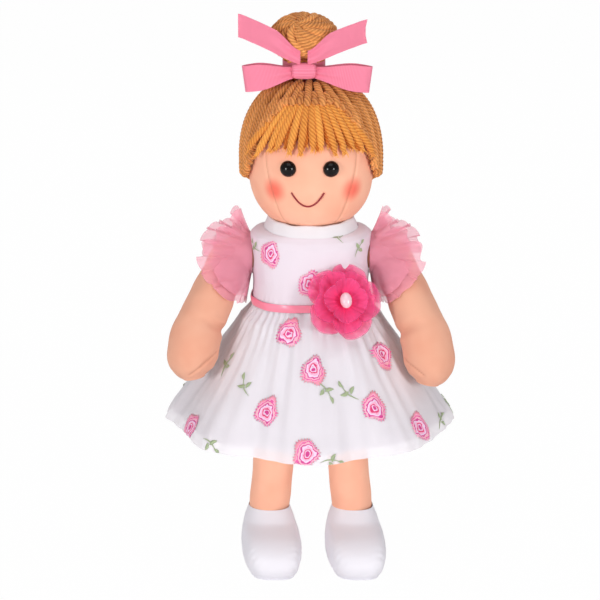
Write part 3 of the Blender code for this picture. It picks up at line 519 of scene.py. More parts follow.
# The chiffon is coloured darker towards the gathered middle as painted shade of its deep folds, and lighter
# at the thin edge, which is also more see-through.
toward_edge = uv_axes(chiffon)[1]
two_tones(chiffon, toward_edge, (0.86, 0.012, 0.13), (0.97, 0.10, 0.32), 0.25, 0.95)
thin = add(chiffon, "MapRange")
thin.inputs["From Min"].default_value = 0.45
thin.inputs["To Min"].default_value = 0.95
thin.inputs["To Max"].default_value = 0.38
link(chiffon, toward_edge, thin.inputs["Value"])
link(chiffon, thin.outputs[0], shader_of(chiffon).inputs["Alpha"])
satin = finish("white_satin", (0.86, 0.84, 0.90), 0.65)
grain(satin, 60, 0.35, 0.5 * MM, (1, 1, 1), "Object", 3.0)
bead = finish("black_bead", (0.002, 0.001, 0.001), 0.15, Specular_IOR_Level=0.28)
pearl = finish("pearl", (0.90, 0.60, 0.68), 0.22, Coat_Weight=0.8, Sheen_Weight=0.6)
grain(pearl, 700, 0.2, 0.15 * MM)
mouth_thread = finish("mouth_thread", (0.30, 0.02, 0.03), 0.6)
grain(mouth_thread, 1500, 0.4, 0.1 * MM)
felt = finish("felt", (0.72, 0.12, 0.26), 1.0, Sheen_Weight=0.4)
grain(felt, 2000, 0.5, 0.2 * MM)
tape = finish("closure_tape", (0.8, 0.8, 0.8), 0.95)
grain(tape, 3000, 0.7, 0.3 * MM)
plastic = finish("washer_plastic", (0.8, 0.8, 0.8), 0.45)
grain(plastic, 400, 0.1, 0.1 * MM)
print("materials:", len(bpy.data.materials))

# %% [markdown]
# ## Shapes shared with the solids
# The doll's joints, seams and openings are fixed, so the cloth surfaces are worked out from the same
# heights and widths as the solids. The head is a rounded oval, fuller at the cheeks. The hair's lower
# edge arches over the face and falls to the nape. The skirt grows from the waist to the hem.

# %% Sizes
HIP_Z = 122 * MM
HIP_X = 18.5 * MM
LEG_RADIUS = 13.6 * MM
ANKLE_X = 26.6 * MM
ANKLE_Z = 36.6 * MM
ANKLE_RADIUS = 12.9 * MM
SHOE_HALF_WIDTH = 18.6 * MM
SHOE_TOE = 46 * MM
SHOE_HEEL = 14.8 * MM
TOE_TURN = 4.5 * MM
TORSO_BOTTOM_Z = 135.9 * MM
TORSO_HEIGHT = 77.5 * MM
TORSO_HALF_WIDTH = 34.5 * MM
TORSO_HALF_DEPTH = 27.5 * MM
TORSO_TOP_Z = TORSO_BOTTOM_Z + TORSO_HEIGHT
NECK_RADIUS = 13 * MM
WAIST_Z = TORSO_TOP_Z - 42.4 * MM
SHOULDER_Z = TORSO_TOP_Z - 11.5 * MM
CHIN_Z = TORSO_TOP_Z + 5.5 * MM
HEAD_Z = CHIN_Z + 43 * MM
NOD_Z = CHIN_Z + 19 * MM
HEAD_HALF_WIDTH = 38.5 * MM
HEAD_HALF_DEPTH = 36 * MM
HEAD_ABOVE = 46 * MM
HEAD_BELOW = 43 * MM
BODICE_HALF_WIDTH = 37.9 * MM
BODICE_HALF_DEPTH = 30.9 * MM
BODICE_TOP_Z = 219.2 * MM
ARM_X = 39.1 * MM
HEM_HALF_WIDTH = 91.5 * MM
HEM_HALF_DEPTH = 85.5 * MM
SKIRT_DROP = 79.5 * MM
BUN = Vector((-4.4 * MM, 1.0 * MM, 314.0 * MM))
BUN_RADIUS = 21.5 * MM
BUN_HEIGHT = 37.2 * MM

TORSO_SHARES = (
    (0.0, 0.62, 0.58),
    (0.035, 0.83, 0.80),
    (0.11, 0.96, 0.95),
    (0.25, 1.0, 1.0),
    (0.45, 0.95, 0.97),
    (0.7, 0.955, 0.98),
    (0.86, 0.975, 0.94),
    (0.94, 0.93, 0.84),
    (0.985, 0.76, 0.68),
)
BODICE_SHARES = (
    (0.0, 0.965, 1.0),
    (0.3, 0.95, 1.0),
    (0.6, 0.975, 0.99),
    (0.8, 1.0, 0.97),
    (0.92, 0.985, 0.93),
    (0.98, 0.9, 0.89),
    (1.0, 0.775, 0.875),
)
ARM_SHARES = (
    (0.0, 0.0, 0.0, 0.64),
    (0.34, 0.08, 0.04, 0.76),
    (0.48, 0.25, 0.19, 0.85),
    (0.73, 0.5, 0.42, 0.91),
    (0.93, 0.72, 0.64, 1.0),
    (1.0, 0.88, 0.81, 1.0),
    (0.99, 0.96, 0.92, 0.8),
    (0.965, 0.99, 0.985, 0.44),
)
SHOE_SHARES = (
    (0.0, 0.8, 0.88, 0.8),
    (0.11, 0.91, 0.96, 0.93),
    (0.27, 0.98, 1.0, 1.0),
    (0.46, 1.0, 0.94, 1.0),
    (0.64, 0.95, 0.75, 0.98),
    (0.82, 0.84, 0.42, 0.95),
)


def head_share(z, out=0.0):
    """How wide the head is at a height, as a share of its widest."""
    power = 2.3 if z >= HEAD_Z else 2.6
    reach = (HEAD_ABOVE if z >= HEAD_Z else HEAD_BELOW) + out
    return max(0.0, 1 - min(1.0, abs(z - HEAD_Z) / reach) ** power) ** (1 / power)


def head_point(angle, z, out=0.0):
    """A point of the head, grown by out, at an angle from straight ahead and a height."""
    share = head_share(z, out)
    x = (HEAD_HALF_WIDTH + out) * share * math.sin(angle)
    y = -(HEAD_HALF_DEPTH + out) * share * math.cos(angle)
    return Vector((x, y, z))


def face_point(x, z, out=0.0):
    """The point of the face in front of (x, z)."""
    share = head_share(z, out)
    return head_point(math.asin(x / ((HEAD_HALF_WIDTH + out) * share)), z, out)


def head_slope(angle, slope, out=0.0):
    """A point of the head at a slope angle from -90 (chin) to 90 degrees (crown)."""
    power = 2.3 if slope >= 0 else 2.6
    rise = abs(math.sin(slope)) ** (2 / power)
    share = max(0.0, math.cos(slope)) ** (2 / power)
    reach = HEAD_ABOVE + out if slope >= 0 else -HEAD_BELOW - out
    x = (HEAD_HALF_WIDTH + out) * share * math.sin(angle)
    y = -(HEAD_HALF_DEPTH + out) * share * math.cos(angle)
    return Vector((x, y, HEAD_Z + rise * reach))


def slope_at(z, out=0.0):
    """The slope angle at which the head, grown by out, reaches a height."""
    if z >= HEAD_Z:
        return math.asin(min(1.0, (z - HEAD_Z) / (HEAD_ABOVE + out)) ** 1.15)
    return -math.asin(min(1.0, (HEAD_Z - z) / (HEAD_BELOW + out)) ** 1.3)


def hair_edge(angle):
    """Height of the hair's lower edge round the head."""
    turn = abs(angle)
    arch, side, nape = HEAD_Z + 38 * MM, HEAD_Z - 8 * MM, HEAD_Z - 33 * MM
    flat, corner = math.radians(24), math.radians(80)
    if turn < corner:
        return arch + (side - arch) * smooth_step(flat, corner, turn)
    return side + (nape - side) * smooth_step(corner, math.pi, turn)


def bodice_point(angle, share, out=0.0):
    """A point of the bodice at an angle round it and a share of its height."""
    width, depth = table(BODICE_SHARES, share)[1:]
    x, y = power_oval(angle, 2.3)
    point = Vector(((BODICE_HALF_WIDTH * width + out) * x, (BODICE_HALF_DEPTH * depth + out) * y, 0))
    dip = 3 * MM * smooth_step(0.8, 1.0, share)
    point.z = WAIST_Z + (BODICE_TOP_Z - WAIST_Z) * share - dip * (point.y / BODICE_HALF_DEPTH) ** 2
    return point


def arm_station(position, drop=75 * MM):
    """Centre and radius of the left arm, counted in rows of its table."""
    rows = [(k, *row) for k, row in enumerate(ARM_SHARES)]
    spot, out, forward, down, size = flow(rows, position)
    centre = Vector((ARM_X + 33.8 * MM * out, -34 * MM * forward, SHOULDER_Z - drop * down))
    return centre, 15.6 * MM * size


print("shapes shared with the solids are ready")

# %% [markdown]
# ## Head
# The head is sewn from knit and stuffed hard. Two seams run down the face beside the eyes and meet
# the chin, and they pull shallow grooves into the stuffing. The blush is rubbed on the cheeks.
# A filled piece stands for the skin and its filling together.

# %% Head
HEAD_COLUMNS, HEAD_ROWS = 288, 150
SEAM_HALF = 0.5 * MM


def seam_angle(z):
    """The face seams' angle from straight ahead, closing in towards the chin."""
    rows = ((219 * MM, 32.0), (229 * MM, 36.5), (238 * MM, 36.9), (246 * MM, 39.0), (262 * MM, 45.0))
    return math.radians(table(rows + ((276 * MM, 47.0), (308 * MM, 47.0)), z)[1])


def head_rule(u, v):
    angle = (u - 0.5) * math.tau
    foot = slope_at(CHIN_Z + 1.2 * MM)
    slope = foot + (math.pi / 2 - foot) * v
    point = head_slope(angle, slope)
    aside = abs(abs(angle) - seam_angle(point.z)) * HEAD_HALF_WIDTH
    groove = 0.4 * MM * math.exp(-((aside / (1.3 * MM)) ** 2)) if abs(angle) < 1.2 else 0.0
    puff = lumps(point, 26 * MM, 0.5 * MM)
    return point + outward(point) * (puff - groove)


def mark_seam(piece, measure, half):
    """Write how near each point is to a seam, for the material to darken it."""
    near = piece.data.attributes.new("seam", "FLOAT", "POINT")
    for vert, value in zip(piece.data.vertices, near.data):
        value.value = 0.42 * math.exp(-((measure(vert.co) / half) ** 2))


def off_face_seam(point):
    angle = math.atan2(point.x / HEAD_HALF_WIDTH, -point.y / HEAD_HALF_DEPTH)
    if abs(angle) > 1.2 or point.z > 304 * MM:
        return 99 * MM
    return (abs(angle) - seam_angle(point.z)) * HEAD_HALF_WIDTH


head = wrap("head", HEAD_COLUMNS, HEAD_ROWS, head_rule)
mark_seam(head, off_face_seam, SEAM_HALF)
edit_all(head, fill_ends, face_out)
cheeks = [face_point(x * MM, 247.5 * MM) for x in (-22.4, 25.0)]
head_skin = skin("head_velour", cheeks)
dress(head, head_skin, "head", "skin_velour", "head_skin", "head_filling")
print("head:", len(head.data.vertices), "points, blush at", [round(c.x / MM, 1) for c in cheeks])

# %% [markdown]
# ## Eyes, mouth and neck
# The eyes are glossy domed beads on shanks, and the smile is one dark thread stitched on the face.
# The neck is a stuffed post that ends as a ball inside the head, so the head can turn and nod.

# %% Eyes
for side, sign in (("right", -1), ("left", 1)):
    seat = face_point(-1 * MM + sign * 12.8 * MM, HEAD_Z)
    normal = Vector((seat.x / HEAD_HALF_WIDTH**2, seat.y / HEAD_HALF_DEPTH**2, 0)).normalized()
    bpy.ops.mesh.primitive_uv_sphere_add(segments=48, ring_count=32, radius=5 * MM)
    eye = current("bead_eye_" + side)
    for vert in eye.data.vertices:
        vert.co.z *= 0.86 if vert.co.z > 0 else 0.26
        vert.co.z += 0.3 * MM
    eye.matrix_world = Matrix.Translation(seat) @ normal.to_track_quat("Z", "Y").to_matrix().to_4x4()
    shank_at = seat - normal * 1.9 * MM
    bpy.ops.mesh.primitive_cylinder_add(vertices=20, radius=1.3 * MM, depth=3.8 * MM)
    shank = current("shank")
    shank.matrix_world = (
        Matrix.Translation(shank_at) @ normal.to_track_quat("Z", "Y").to_matrix().to_4x4()
    )
    eye = join([eye, shank], "bead_eye_" + side)
    dress(eye, bead, "head", "black_bead", "eye_" + side)
print("eyes: 10 mm beads, 25.6 mm apart")

# %% Mouth and neck
MOUTH_POINTS = 33
smile = open_curve("smile")
line = smile.data.splines.new("POLY")
line.points.add(MOUTH_POINTS - 1)
for k, point in enumerate(line.points):
    t = 2 * k / (MOUTH_POINTS - 1) - 1
    place = face_point(-2.1 * MM + 9.9 * MM * t, HEAD_Z - 14.7 * MM - 8.8 * MM * (1 - t * t), 0.45 * MM)
    point.co = (*place, 1)
smile.data.bevel_depth = 0.5 * MM
smile.data.bevel_resolution = 3
smile.data.use_fill_caps = True
smile = to_mesh(smile, "smile")
dress(smile, mouth_thread, "head", "mouth_thread", "mouth_stitch")


def neck_rule(u, v):
    angle = u * math.tau
    if v < 0.6:
        z = TORSO_TOP_Z - 1.4 * MM + (NOD_Z - TORSO_TOP_Z + 1.4 * MM) * v / 0.6
        return Vector((NECK_RADIUS * math.cos(angle), NECK_RADIUS * math.sin(angle), z))
    slope = math.pi / 2 * (v - 0.6) / 0.4
    radius = NECK_RADIUS * math.cos(slope)
    z = NOD_Z + NECK_RADIUS * math.sin(slope)
    return Vector((radius * math.cos(angle), radius * math.sin(angle), z))


neck_post = wrap("neck_post", 48, 40, neck_rule)
edit_all(neck_post, fill_ends, face_out)
dress(neck_post, limb_skin, "neck", "skin_velour", "neck")
print("mouth and neck: thread 1 mm, post", round(2 * NECK_RADIUS / MM), "mm")

# %% [markdown]
# ## Torso, arms, legs
# Each limb is a tube of knit, filled with fibre. The torso is closed at the bottom, and the leg tops
# are sewn under it on a small fold of cloth, so the legs can swing. The arms hang out and forward,
# and end as round mitts with a seam.


# %% Torso and hips
def torso_rule(u, v):
    if v > 0.96:
        height = 1.0
        fade = (v - 0.96) / 0.04
        base = table(TORSO_SHARES, 1.0)
        width = base[1] * (1 - fade) + NECK_RADIUS / TORSO_HALF_WIDTH * 0.5 * fade
        depth = base[2] * (1 - fade) + NECK_RADIUS / TORSO_HALF_DEPTH * 0.5 * fade
    else:
        height = v / 0.96
        width, depth = table(TORSO_SHARES, height)[1:]
    x, y = power_oval(u * math.tau, 2.3)
    z = TORSO_BOTTOM_Z + TORSO_HEIGHT * height
    return Vector((TORSO_HALF_WIDTH * width * x, TORSO_HALF_DEPTH * depth * y, z))


body_form = wrap("body_form", 72, 60, torso_rule)
edit_all(body_form, fill_ends, face_out)
dress(body_form, limb_skin, "torso", "skin_velour", "torso_skin", "torso_filling")

bpy.ops.mesh.primitive_cylinder_add(
    vertices=48, radius=LEG_RADIUS - 0.3 * MM, depth=9.2 * MM,
    location=(0, 0, HIP_Z), rotation=(0, math.pi / 2, 0),
)
hip_fold = current("hip_fold")
rounding = hip_fold.modifiers.new("rounding", "BEVEL")
rounding.width = 1.2 * MM
rounding.segments = 3
apply_all(hip_fold)
dress(hip_fold, limb_skin, "hips", "skin_velour", "hip_web")
print("torso", round(TORSO_HEIGHT / MM, 1), "mm high")


# %% Arms
def arm_rule(sign, drop):
    """A stuffed arm: the mouth at the torso, the stations, then the rounded tip of the hand."""
    count = len(ARM_SHARES) - 1

    def rule(u, v):
        where = v * (count + 1.6) - 1.0
        if where < 0:
            centre = Vector((ARM_X + (ARM_X - 33.6 * MM) * where, 0, SHOULDER_Z))
            radius = 9.5 * MM + 0.48 * MM * (1 + where)
            along = Vector((1, 0, 0))
        elif where <= count:
            centre, radius = arm_station(where, drop)
            ahead, behind = min(where + 0.2, count), max(where - 0.2, 0)
            along = (arm_station(ahead, drop)[0] - arm_station(behind, drop)[0]).normalized()
            if where < 0.6:
                along = (Vector((1, 0, 0)) * (0.6 - where) + along * where).normalized()
        else:
            centre, radius = arm_station(count, drop)
            fade = (where - count) / 0.6
            along = Vector((-0.2, -0.1, -1)).normalized()
            centre += along * 1.3 * MM * math.sin(fade * math.pi / 2)
            radius *= math.cos(fade * math.pi / 2)
        side = (Vector((0, 1, 0)) - along * along.y).normalized()
        up = along.cross(side)
        turn = u * math.tau
        point = centre + radius * (side * math.cos(turn) + up * math.sin(turn))
        inner = max(0.0, (centre - point).normalized().dot(Vector((0.9, 0.35, -0.3)).normalized()))
        crease = 3.4 * MM * inner**2 * math.exp(-(((where - 3.55) / 0.17) ** 2))
        fold = 1.2 * MM * inner * math.exp(-(((where - 2.4) / 0.2) ** 2))
        point += (centre - point) * min(0.35, (crease + fold) / max(radius, 1 * MM))
        if where > 0.2 and radius > 3 * MM:
            point += (point - centre).normalized() * lumps(point, 12 * MM, 0.8 * MM)
        point.x *= sign
        return point

    return rule


def trace(tree, pixels, steps=8):
    """A line on a surface under a row of pixels of the photograph."""
    found = []
    for (x0, y0), (x1, y1) in zip(pixels, pixels[1:]):
        for k in range(steps):
            spot = (x0 + (x1 - x0) * k / steps, y0 + (y1 - y0) * k / steps)
            place, normal = tree.ray_cast(camera.location, sight(spot))[:2]
            if place is not None:
                found.append((place, normal))
    return found


def pull_in(piece, line, depth, half):
    """Press a groove along a line and darken its bottom, as a seam pulls a stuffed cloth."""
    near = KDTree(len(line))
    for k, (place, _) in enumerate(line):
        near.insert(place, k)
    near.balance()
    seam = piece.data.attributes.get("seam") or piece.data.attributes.new("seam", "FLOAT", "POINT")
    moves = []
    for vert, value in zip(piece.data.vertices, seam.data):
        gap = near.find(vert.co)[2]
        if gap < 4 * half:
            moves.append((vert, vert.normal * depth * math.exp(-((gap / half) ** 2))))
            value.value = max(value.value, 0.5 * math.exp(-((gap / (0.45 * half)) ** 2)))
    for vert, move in moves:
        vert.co -= move


ARM_DROPS = {"right": 72.0 * MM, "left": 75.8 * MM}
HAND_SEAMS = {
    "right": [[(226, 341), (219, 350), (209, 360), (199, 369), (189, 376)], [(226, 341), (222, 326)]],
    "left": [[(384, 307), (390, 322), (396, 338), (399, 352), (408, 363), (425, 377)]],
}
for side, sign in (("right", -1), ("left", 1)):
    arm = wrap("arm_" + side, 112, 170, arm_rule(sign, ARM_DROPS[side]))
    edit_all(arm, fill_ends, face_out)
    arm_tree = tree_of(arm)
    for pixels in HAND_SEAMS[side]:
        pull_in(arm, trace(arm_tree, pixels), 0.9 * MM, 1.1 * MM)
    dress(arm, arm_shaded_skin, "arm_" + side, "skin_velour", "arm_skin_" + side, "arm_filling_" + side)
    print(arm.name, len(arm.data.vertices), "points")


# %% Legs and shoes
def leg_rule(sign):
    def rule(u, v):
        turn = u * math.tau
        if v > 0.78:
            slope = math.pi / 2 * (v - 0.78) / 0.22
            centre = Vector((sign * HIP_X, 0, HIP_Z + LEG_RADIUS * math.sin(slope)))
            radius = LEG_RADIUS * math.cos(slope)
        else:
            t = 1 - v / 0.78
            low = (HIP_Z - ANKLE_Z + 3 * MM) * t
            centre = Vector((sign * (HIP_X + (ANKLE_X - HIP_X) * t), 0, HIP_Z - low))
            radius = LEG_RADIUS + (ANKLE_RADIUS - 0.2 * MM - LEG_RADIUS) * t
        point = centre + Vector((radius * math.cos(turn), radius * math.sin(turn), 0))
        push = lumps(point, 17 * MM, 0.6 * MM) * smooth_step(0.0, 0.1, v)
        if v < 0.75:
            point += Vector((math.cos(turn), math.sin(turn), 0)) * push
        return point
    return rule


def shoe_rule(sign):
    """Sole, sides and upper, with creases at the toe's corners."""
    top = ANKLE_Z - 0.3 * MM

    def rule(u, v):
        share = min(1.0, max(0.0, (v - 0.16) / 0.84))
        if share > 0.82:
            fade = (share - 0.82) / 0.18
            low = table(SHOE_SHARES, 0.82)
            front = -SHOE_TOE * low[2] * (1 - fade) - ANKLE_RADIUS * fade
            back = SHOE_HEEL * low[3] * (1 - fade) + ANKLE_RADIUS * fade
            half = SHOE_HALF_WIDTH * low[1] * (1 - fade) + ANKLE_RADIUS * fade
        else:
            size = flow(SHOE_SHARES, share)
            front, back, half = -SHOE_TOE * size[2], SHOE_HEEL * size[3], SHOE_HALF_WIDTH * size[1]
        x, y = power_oval(u * math.tau, 2.3)
        toe_x, toe_y = power_oval(u * math.tau, 3.2)
        toe = smooth_step(0.1, 0.8, -y) * (1 - smooth_step(0.55, 0.8, share))
        x, y = x + (toe_x - x) * toe, y + (toe_y - y) * toe
        inset = 1.0 if v >= 0.16 else v / 0.16
        point = Vector((half * x * inset, (front + back) / 2 + (back - front) / 2 * y * inset, top * share))
        front_pull = smooth_step(0.0, 36 * MM, -point.y)
        crease = math.sin(point.y * 1450 + math.sin(point.x * 260) * 2.2 + point.z * 500)
        side_pull = smooth_step(6 * MM, 17 * MM, abs(point.x)) * smooth_step(0.15, 0.4, share)
        swell = crease * 0.6 * MM * side_pull * front_pull * (1 - smooth_step(0.6, 0.8, share))
        point += Vector((x, y, 0)).normalized() * swell if share > 0.1 else Vector()
        point.x += TOE_TURN * max(0.0, -point.y / SHOE_TOE)
        return Vector((sign * ANKLE_X + point.x, point.y, point.z))
    return rule


for side, sign in (("right", -1), ("left", 1)):
    leg = wrap("leg_" + side, 56, 70, leg_rule(sign))
    edit_all(leg, fill_ends, face_out)
    dress(leg, limb_skin, "leg_" + side, "skin_velour", "leg_skin_" + side, "leg_filling_" + side)
    shoe = wrap("satin_shoe_" + side, 72, 50, shoe_rule(sign))
    dress(shoe, satin, "leg_" + side, "white_satin", "shoe_" + side)
    print(leg.name, "and", shoe.name)

# %% [markdown]
# ## Hair of twisted yarn
# Each lock is one length of five-ply yarn. It runs from under the bun, over the head, and rolls
# under at the hairline, where a hand would stitch it down. A curve carries the path, a five-lobed
# profile carries the plies, and a tilt that grows along the curve twists them. The UV map's second
# axis runs round the yarn, so the material paints shade into the grooves between the plies. A dark
# brown cloth under the locks keeps the scalp from showing; its dark colour is painted shade in the
# gaps between the locks. The fringe is a row of full locks over a row painted darker, as the shade
# behind them.

# %% Yarn maker
YARN_RADIUS = 2.4 * MM
bpy.ops.curve.primitive_bezier_circle_add(radius=1)
plies = current("yarn_plies")
plies.data.splines.clear()
ring = plies.data.splines.new("POLY")
ring.points.add(PLY_POINTS - 1)
ring.use_cyclic_u = True
for k, point in enumerate(ring.points):
    turn = math.tau * k / PLY_POINTS
    reach = 0.93 + 0.07 * math.cos(PLIES * turn)
    point.co = (YARN_RADIUS * reach * math.cos(turn), YARN_RADIUS * reach * math.sin(turn), 0, 1)


def spin_yarn(name, paths, turns_per_metre=85):
    """Make yarn along several paths; each path is a list of (point, radius share, tone)."""
    piece = open_curve(name)
    piece.data.bevel_mode = "OBJECT"
    piece.data.bevel_object = plies
    piece.data.use_fill_caps = True
    piece.data.twist_mode = "MINIMUM"
    near = KDTree(sum(len(path) for path in paths))
    tones = []
    for path in paths:
        line = piece.data.splines.new("POLY")
        line.points.add(len(path) - 1)
        start = random.uniform(0, math.tau)
        length = 0.0
        for k, (place, size, tone) in enumerate(path):
            length += (place - path[k - 1][0]).length if k else 0.0
            line.points[k].co = (*place, 1)
            line.points[k].radius = size
            line.points[k].tilt = start - length * turns_per_metre * math.tau
            near.insert(place, len(tones))
            tones.append(path[0][2])
    near.balance()
    piece = to_mesh(piece, name)
    # The tone attribute holds each strand's own random tone; for the fringe's back row it is painted shade.
    tone = piece.data.attributes.new("tone", "FLOAT", "POINT")
    for vert, value in zip(piece.data.vertices, tone.data):
        value.value = tones[near.find(vert.co)[1]]
    return piece


print("yarn", round(2 * YARN_RADIUS / MM, 1), "mm thick, five plies")

# %% Hair under-cloth and locks
HAIR_CENTRE = 3.6 * MM


def under_rule(u, v):
    angle = (u - 0.5) * math.tau
    foot = slope_at(hair_edge(angle) + 0.8 * MM, 1.8 * MM)
    return head_slope(angle, foot + (math.pi / 2 - foot) * v, 1.9 * MM)


# The under cloth and the bun's core are coloured dark brown: painted shade in the gaps between the locks and
# strands.
under_shade_yarn = yarn("yarn_under_painted_shade", (0.17, 0.045, 0.009), (0.36, 0.11, 0.026))
under = wrap("hair_under_cloth", 120, 50, under_rule)
thicken(under, 0.5 * MM)
dress(under, under_shade_yarn, "head", "yarn")

edge_angles = []
walk = [(-math.pi + math.tau * k / 1440) for k in range(1441)]
edge_points = [head_point(a, hair_edge(a), HAIR_CENTRE) for a in walk]
along_edge = [0.0]
for a, b in zip(edge_points, edge_points[1:]):
    along_edge.append(along_edge[-1] + (b - a).length)
LOCKS = round(along_edge[-1] / (4.5 * MM))
for k in range(LOCKS):
    aim = along_edge[-1] * (k + 0.5) / LOCKS
    spot = next(i for i, value in enumerate(along_edge) if value >= aim)
    edge_angles.append(walk[spot])

LOCK_STEP = 0.8 * MM


def run_path(rule, tone):
    """Walk along rule(share) -> (point, radius share) in steps of an even length."""
    rough = [rule(k / 20)[0] for k in range(21)]
    length = sum((b - a).length for a, b in zip(rough, rough[1:]))
    count = max(12, round(length / LOCK_STEP))
    return [(*rule(k / count), tone) for k in range(count + 1)]


def lock_rule(k, angle, near_angle, far_angle):
    """A lock from its start on the crown to its rolled end at the hairline."""
    ring = HEAD_HALF_WIDTH + HAIR_CENTRE
    apart = abs(far_angle - near_angle) / 2
    share = (4, 1, 2, 1)[k % 4]
    reach = max(9.0 * MM, 3.3 * MM / (share * apart))
    foot = slope_at(hair_edge(angle), HAIR_CENTRE)
    crown = max(math.acos(min(1.0, reach / ring) ** 1.15), foot + 0.12)
    top_angle = angle + random.uniform(-0.03, 0.03)
    lift = random.uniform(-0.2, 0.2) * MM
    front = 1 - smooth_step(math.radians(45), math.radians(75), abs(angle))
    arch = 1.5 * MM * front
    jog = random.uniform(-0.012, 0.012)

    def rule(t):
        if t < 0.95:
            s = t / 0.95
            turn = top_angle + (angle - top_angle) * s + jog * math.sin(s * 7)
            tuck = 2.0 * MM * (1 - smooth_step(0.0, 0.2, s)) if share < 4 else 0.0
            proud = lift - tuck + arch * smooth_step(0.66, 0.92, s)
            place = head_slope(turn, crown + (foot - crown) * s, HAIR_CENTRE + proud)
            return place, 0.75 + 0.25 * smooth_step(0.0, 0.15, s)
        s = (t - 0.95) / 0.05
        place = head_slope(angle, foot, HAIR_CENTRE + lift + arch)
        down = (head_slope(angle, foot - 0.05, HAIR_CENTRE + lift + arch) - place).normalized()
        inward = -outward(place)
        place += down * 1.6 * MM * math.sin(s * math.pi / 2)
        place += inward * 2.0 * MM * (1 - math.cos(s * math.pi / 2))
        return place, 1.0 - 0.35 * s
    return rule


paths = []
for k, angle in enumerate(edge_angles):
    near_angle = edge_angles[k - 1] - (math.tau if k == 0 else 0.0)
    far_angle = edge_angles[(k + 1) % LOCKS] + (math.tau if k == LOCKS - 1 else 0.0)
    tone = 0.28 + 0.34 * random.random()
    paths.append(run_path(lock_rule(k, angle, near_angle, far_angle), tone))
locks = spin_yarn("hair_locks", paths)
dress(locks, top_yarn, "head", "yarn", "hair_cap")
print("locks:", LOCKS, "of yarn, faces:", len(locks.data.polygons))

# %% Fringe
FRINGE_LOCKS = 25
# The back row of fringe locks gets a low tone: painted shade behind the front locks.
BACK_SHADE_TONE = -0.05


def fringe_rule(k):
    t = 2 * (k + 0.5) / FRINGE_LOCKS - 1
    top_angle = math.radians(33) * t
    low_angle = math.radians(62) * t + random.uniform(-0.03, 0.03)
    behind = k % 2
    top_z = hair_edge(top_angle) + 1.5 * MM
    low_z = HEAD_Z + (10.6 + 2.2 * math.sin(2.3 * k) - 3.2 * t * t + 3.0 * behind) * MM

    def rule(s):
        z = top_z + (low_z - top_z) * s
        turn = top_angle + (low_angle - top_angle) * s
        over = 3.2 * MM * smooth_step(math.radians(38), math.radians(58), abs(turn))
        depth = 2.7 * MM + over + (1.0 - 2.4 * behind) * MM * math.sin(s * math.pi)
        size = (0.85 + 0.2 * math.sin(s * math.pi)) * (1 - 0.6 * smooth_step(0.85, 1.0, s))
        return head_point(turn, z, depth), size
    return rule


paths = []
for k in range(FRINGE_LOCKS):
    tone = 0.34 + 0.28 * random.random() if k % 2 == 0 else BACK_SHADE_TONE
    paths.append(run_path(fringe_rule(k), tone))
fringe = spin_yarn("fringe_locks", paths)

WISPS = 9
wisps = open_curve("fringe_wisps")
wisps.data.bevel_depth = 0.36 * MM
wisps.data.bevel_resolution = 1
for path in paths:
    for _ in range(WISPS):
        start, near = path[-6][0], path[-1][0]
        away = Vector((random.uniform(-1, 1), 0, random.uniform(-0.7, 0.4))) * 1.5 * MM
        line = wisps.data.splines.new("POLY")
        line.points.add(3)
        for step in range(4):
            s = step / 3
            spot = start + (near - start) * s * 1.25 + away * (0.4 + s)
            spot += Vector((0, -0.3 * MM, 0))
            line.points[step].co = (*spot, 1)
            line.points[step].radius = 1.0 - 0.75 * s
wisps = to_mesh(wisps, "fringe_wisps")
tone = wisps.data.attributes.new("tone", "FLOAT", "POINT")
for value in tone.data:
    value.value = 0.75
fringe = join([fringe, wisps], "fringe_locks")
dress(fringe, fringe_yarn, "head", "fringe_yarn", "fringe")
print("fringe:", FRINGE_LOCKS, "locks with frayed ends")

# %% Bun
BUN_SHARES = (
    (0.0, 0.56),
    (0.24, 0.56),
    (0.33, 0.78),
    (0.44, 0.93),
    (0.58, 1.0),
    (0.75, 0.88),
    (0.89, 0.62),
    (0.975, 0.28),
    (1.0, 0.0),
)


def bun_point(direction, depth):
    """A point of the bun's surface in a direction from its middle, at a depth under it."""
    height = 0.58 + (0.42 if direction.z > 0 else 0.4) * direction.z
    flat = Vector((direction.x, direction.y, 0))
    reach = flat.length
    height_angle = math.asin(min(1.0, max(-1.0, direction.z)))
    width = flow(BUN_SHARES, height)[1] if direction.z < 0 else math.cos(height_angle) ** 0.95
    radius = max(BUN_RADIUS * width - depth * (0.35 + 0.65 * min(1.0, reach * 1.4)), 0.0)
    spot = flat.normalized() * radius if reach > 1e-6 else Vector()
    spot.z = BUN_HEIGHT * height - depth * direction.z
    return BUN + spot


def bun_core_rule(u, v):
    turn = u * math.tau
    slope = math.pi * (v - 0.5)
    direction = Vector((math.cos(slope) * math.cos(turn), math.cos(slope) * math.sin(turn), math.sin(slope)))
    return bun_point(direction, 2.2 * MM)


# The core under the bun's strands takes the dark under yarn: painted shade between the strands.
core = wrap("bun_core", 48, 32, bun_core_rule)
edit_all(core, fill_ends, face_out)
dress(core, under_shade_yarn, "head", "yarn")

pole = Vector((-0.22, -0.62, 0.75)).normalized()
side_axis = pole.cross(Vector((0, 0, 1))).normalized()
up_axis = side_axis.cross(pole)
BUN_STRANDS = 28


def bun_rule(k):
    spread = math.tau * k / BUN_STRANDS
    begin = (2, 42, 18, 42)[k % 4]

    def rule(s):
        away = math.radians(begin + (165 - begin) * s)
        turn = spread - math.radians(150) * (away / math.pi) + 0.05 * math.sin(5 * s + k)
        aside = side_axis * math.cos(turn) + up_axis * math.sin(turn)
        rise = 1 - smooth_step(0.0, 0.2, s)
        place = bun_point(pole * math.cos(away) + aside * math.sin(away), 2.0 * MM + 0.8 * MM * rise)
        return place, 1.06 - 0.25 * rise
    return rule


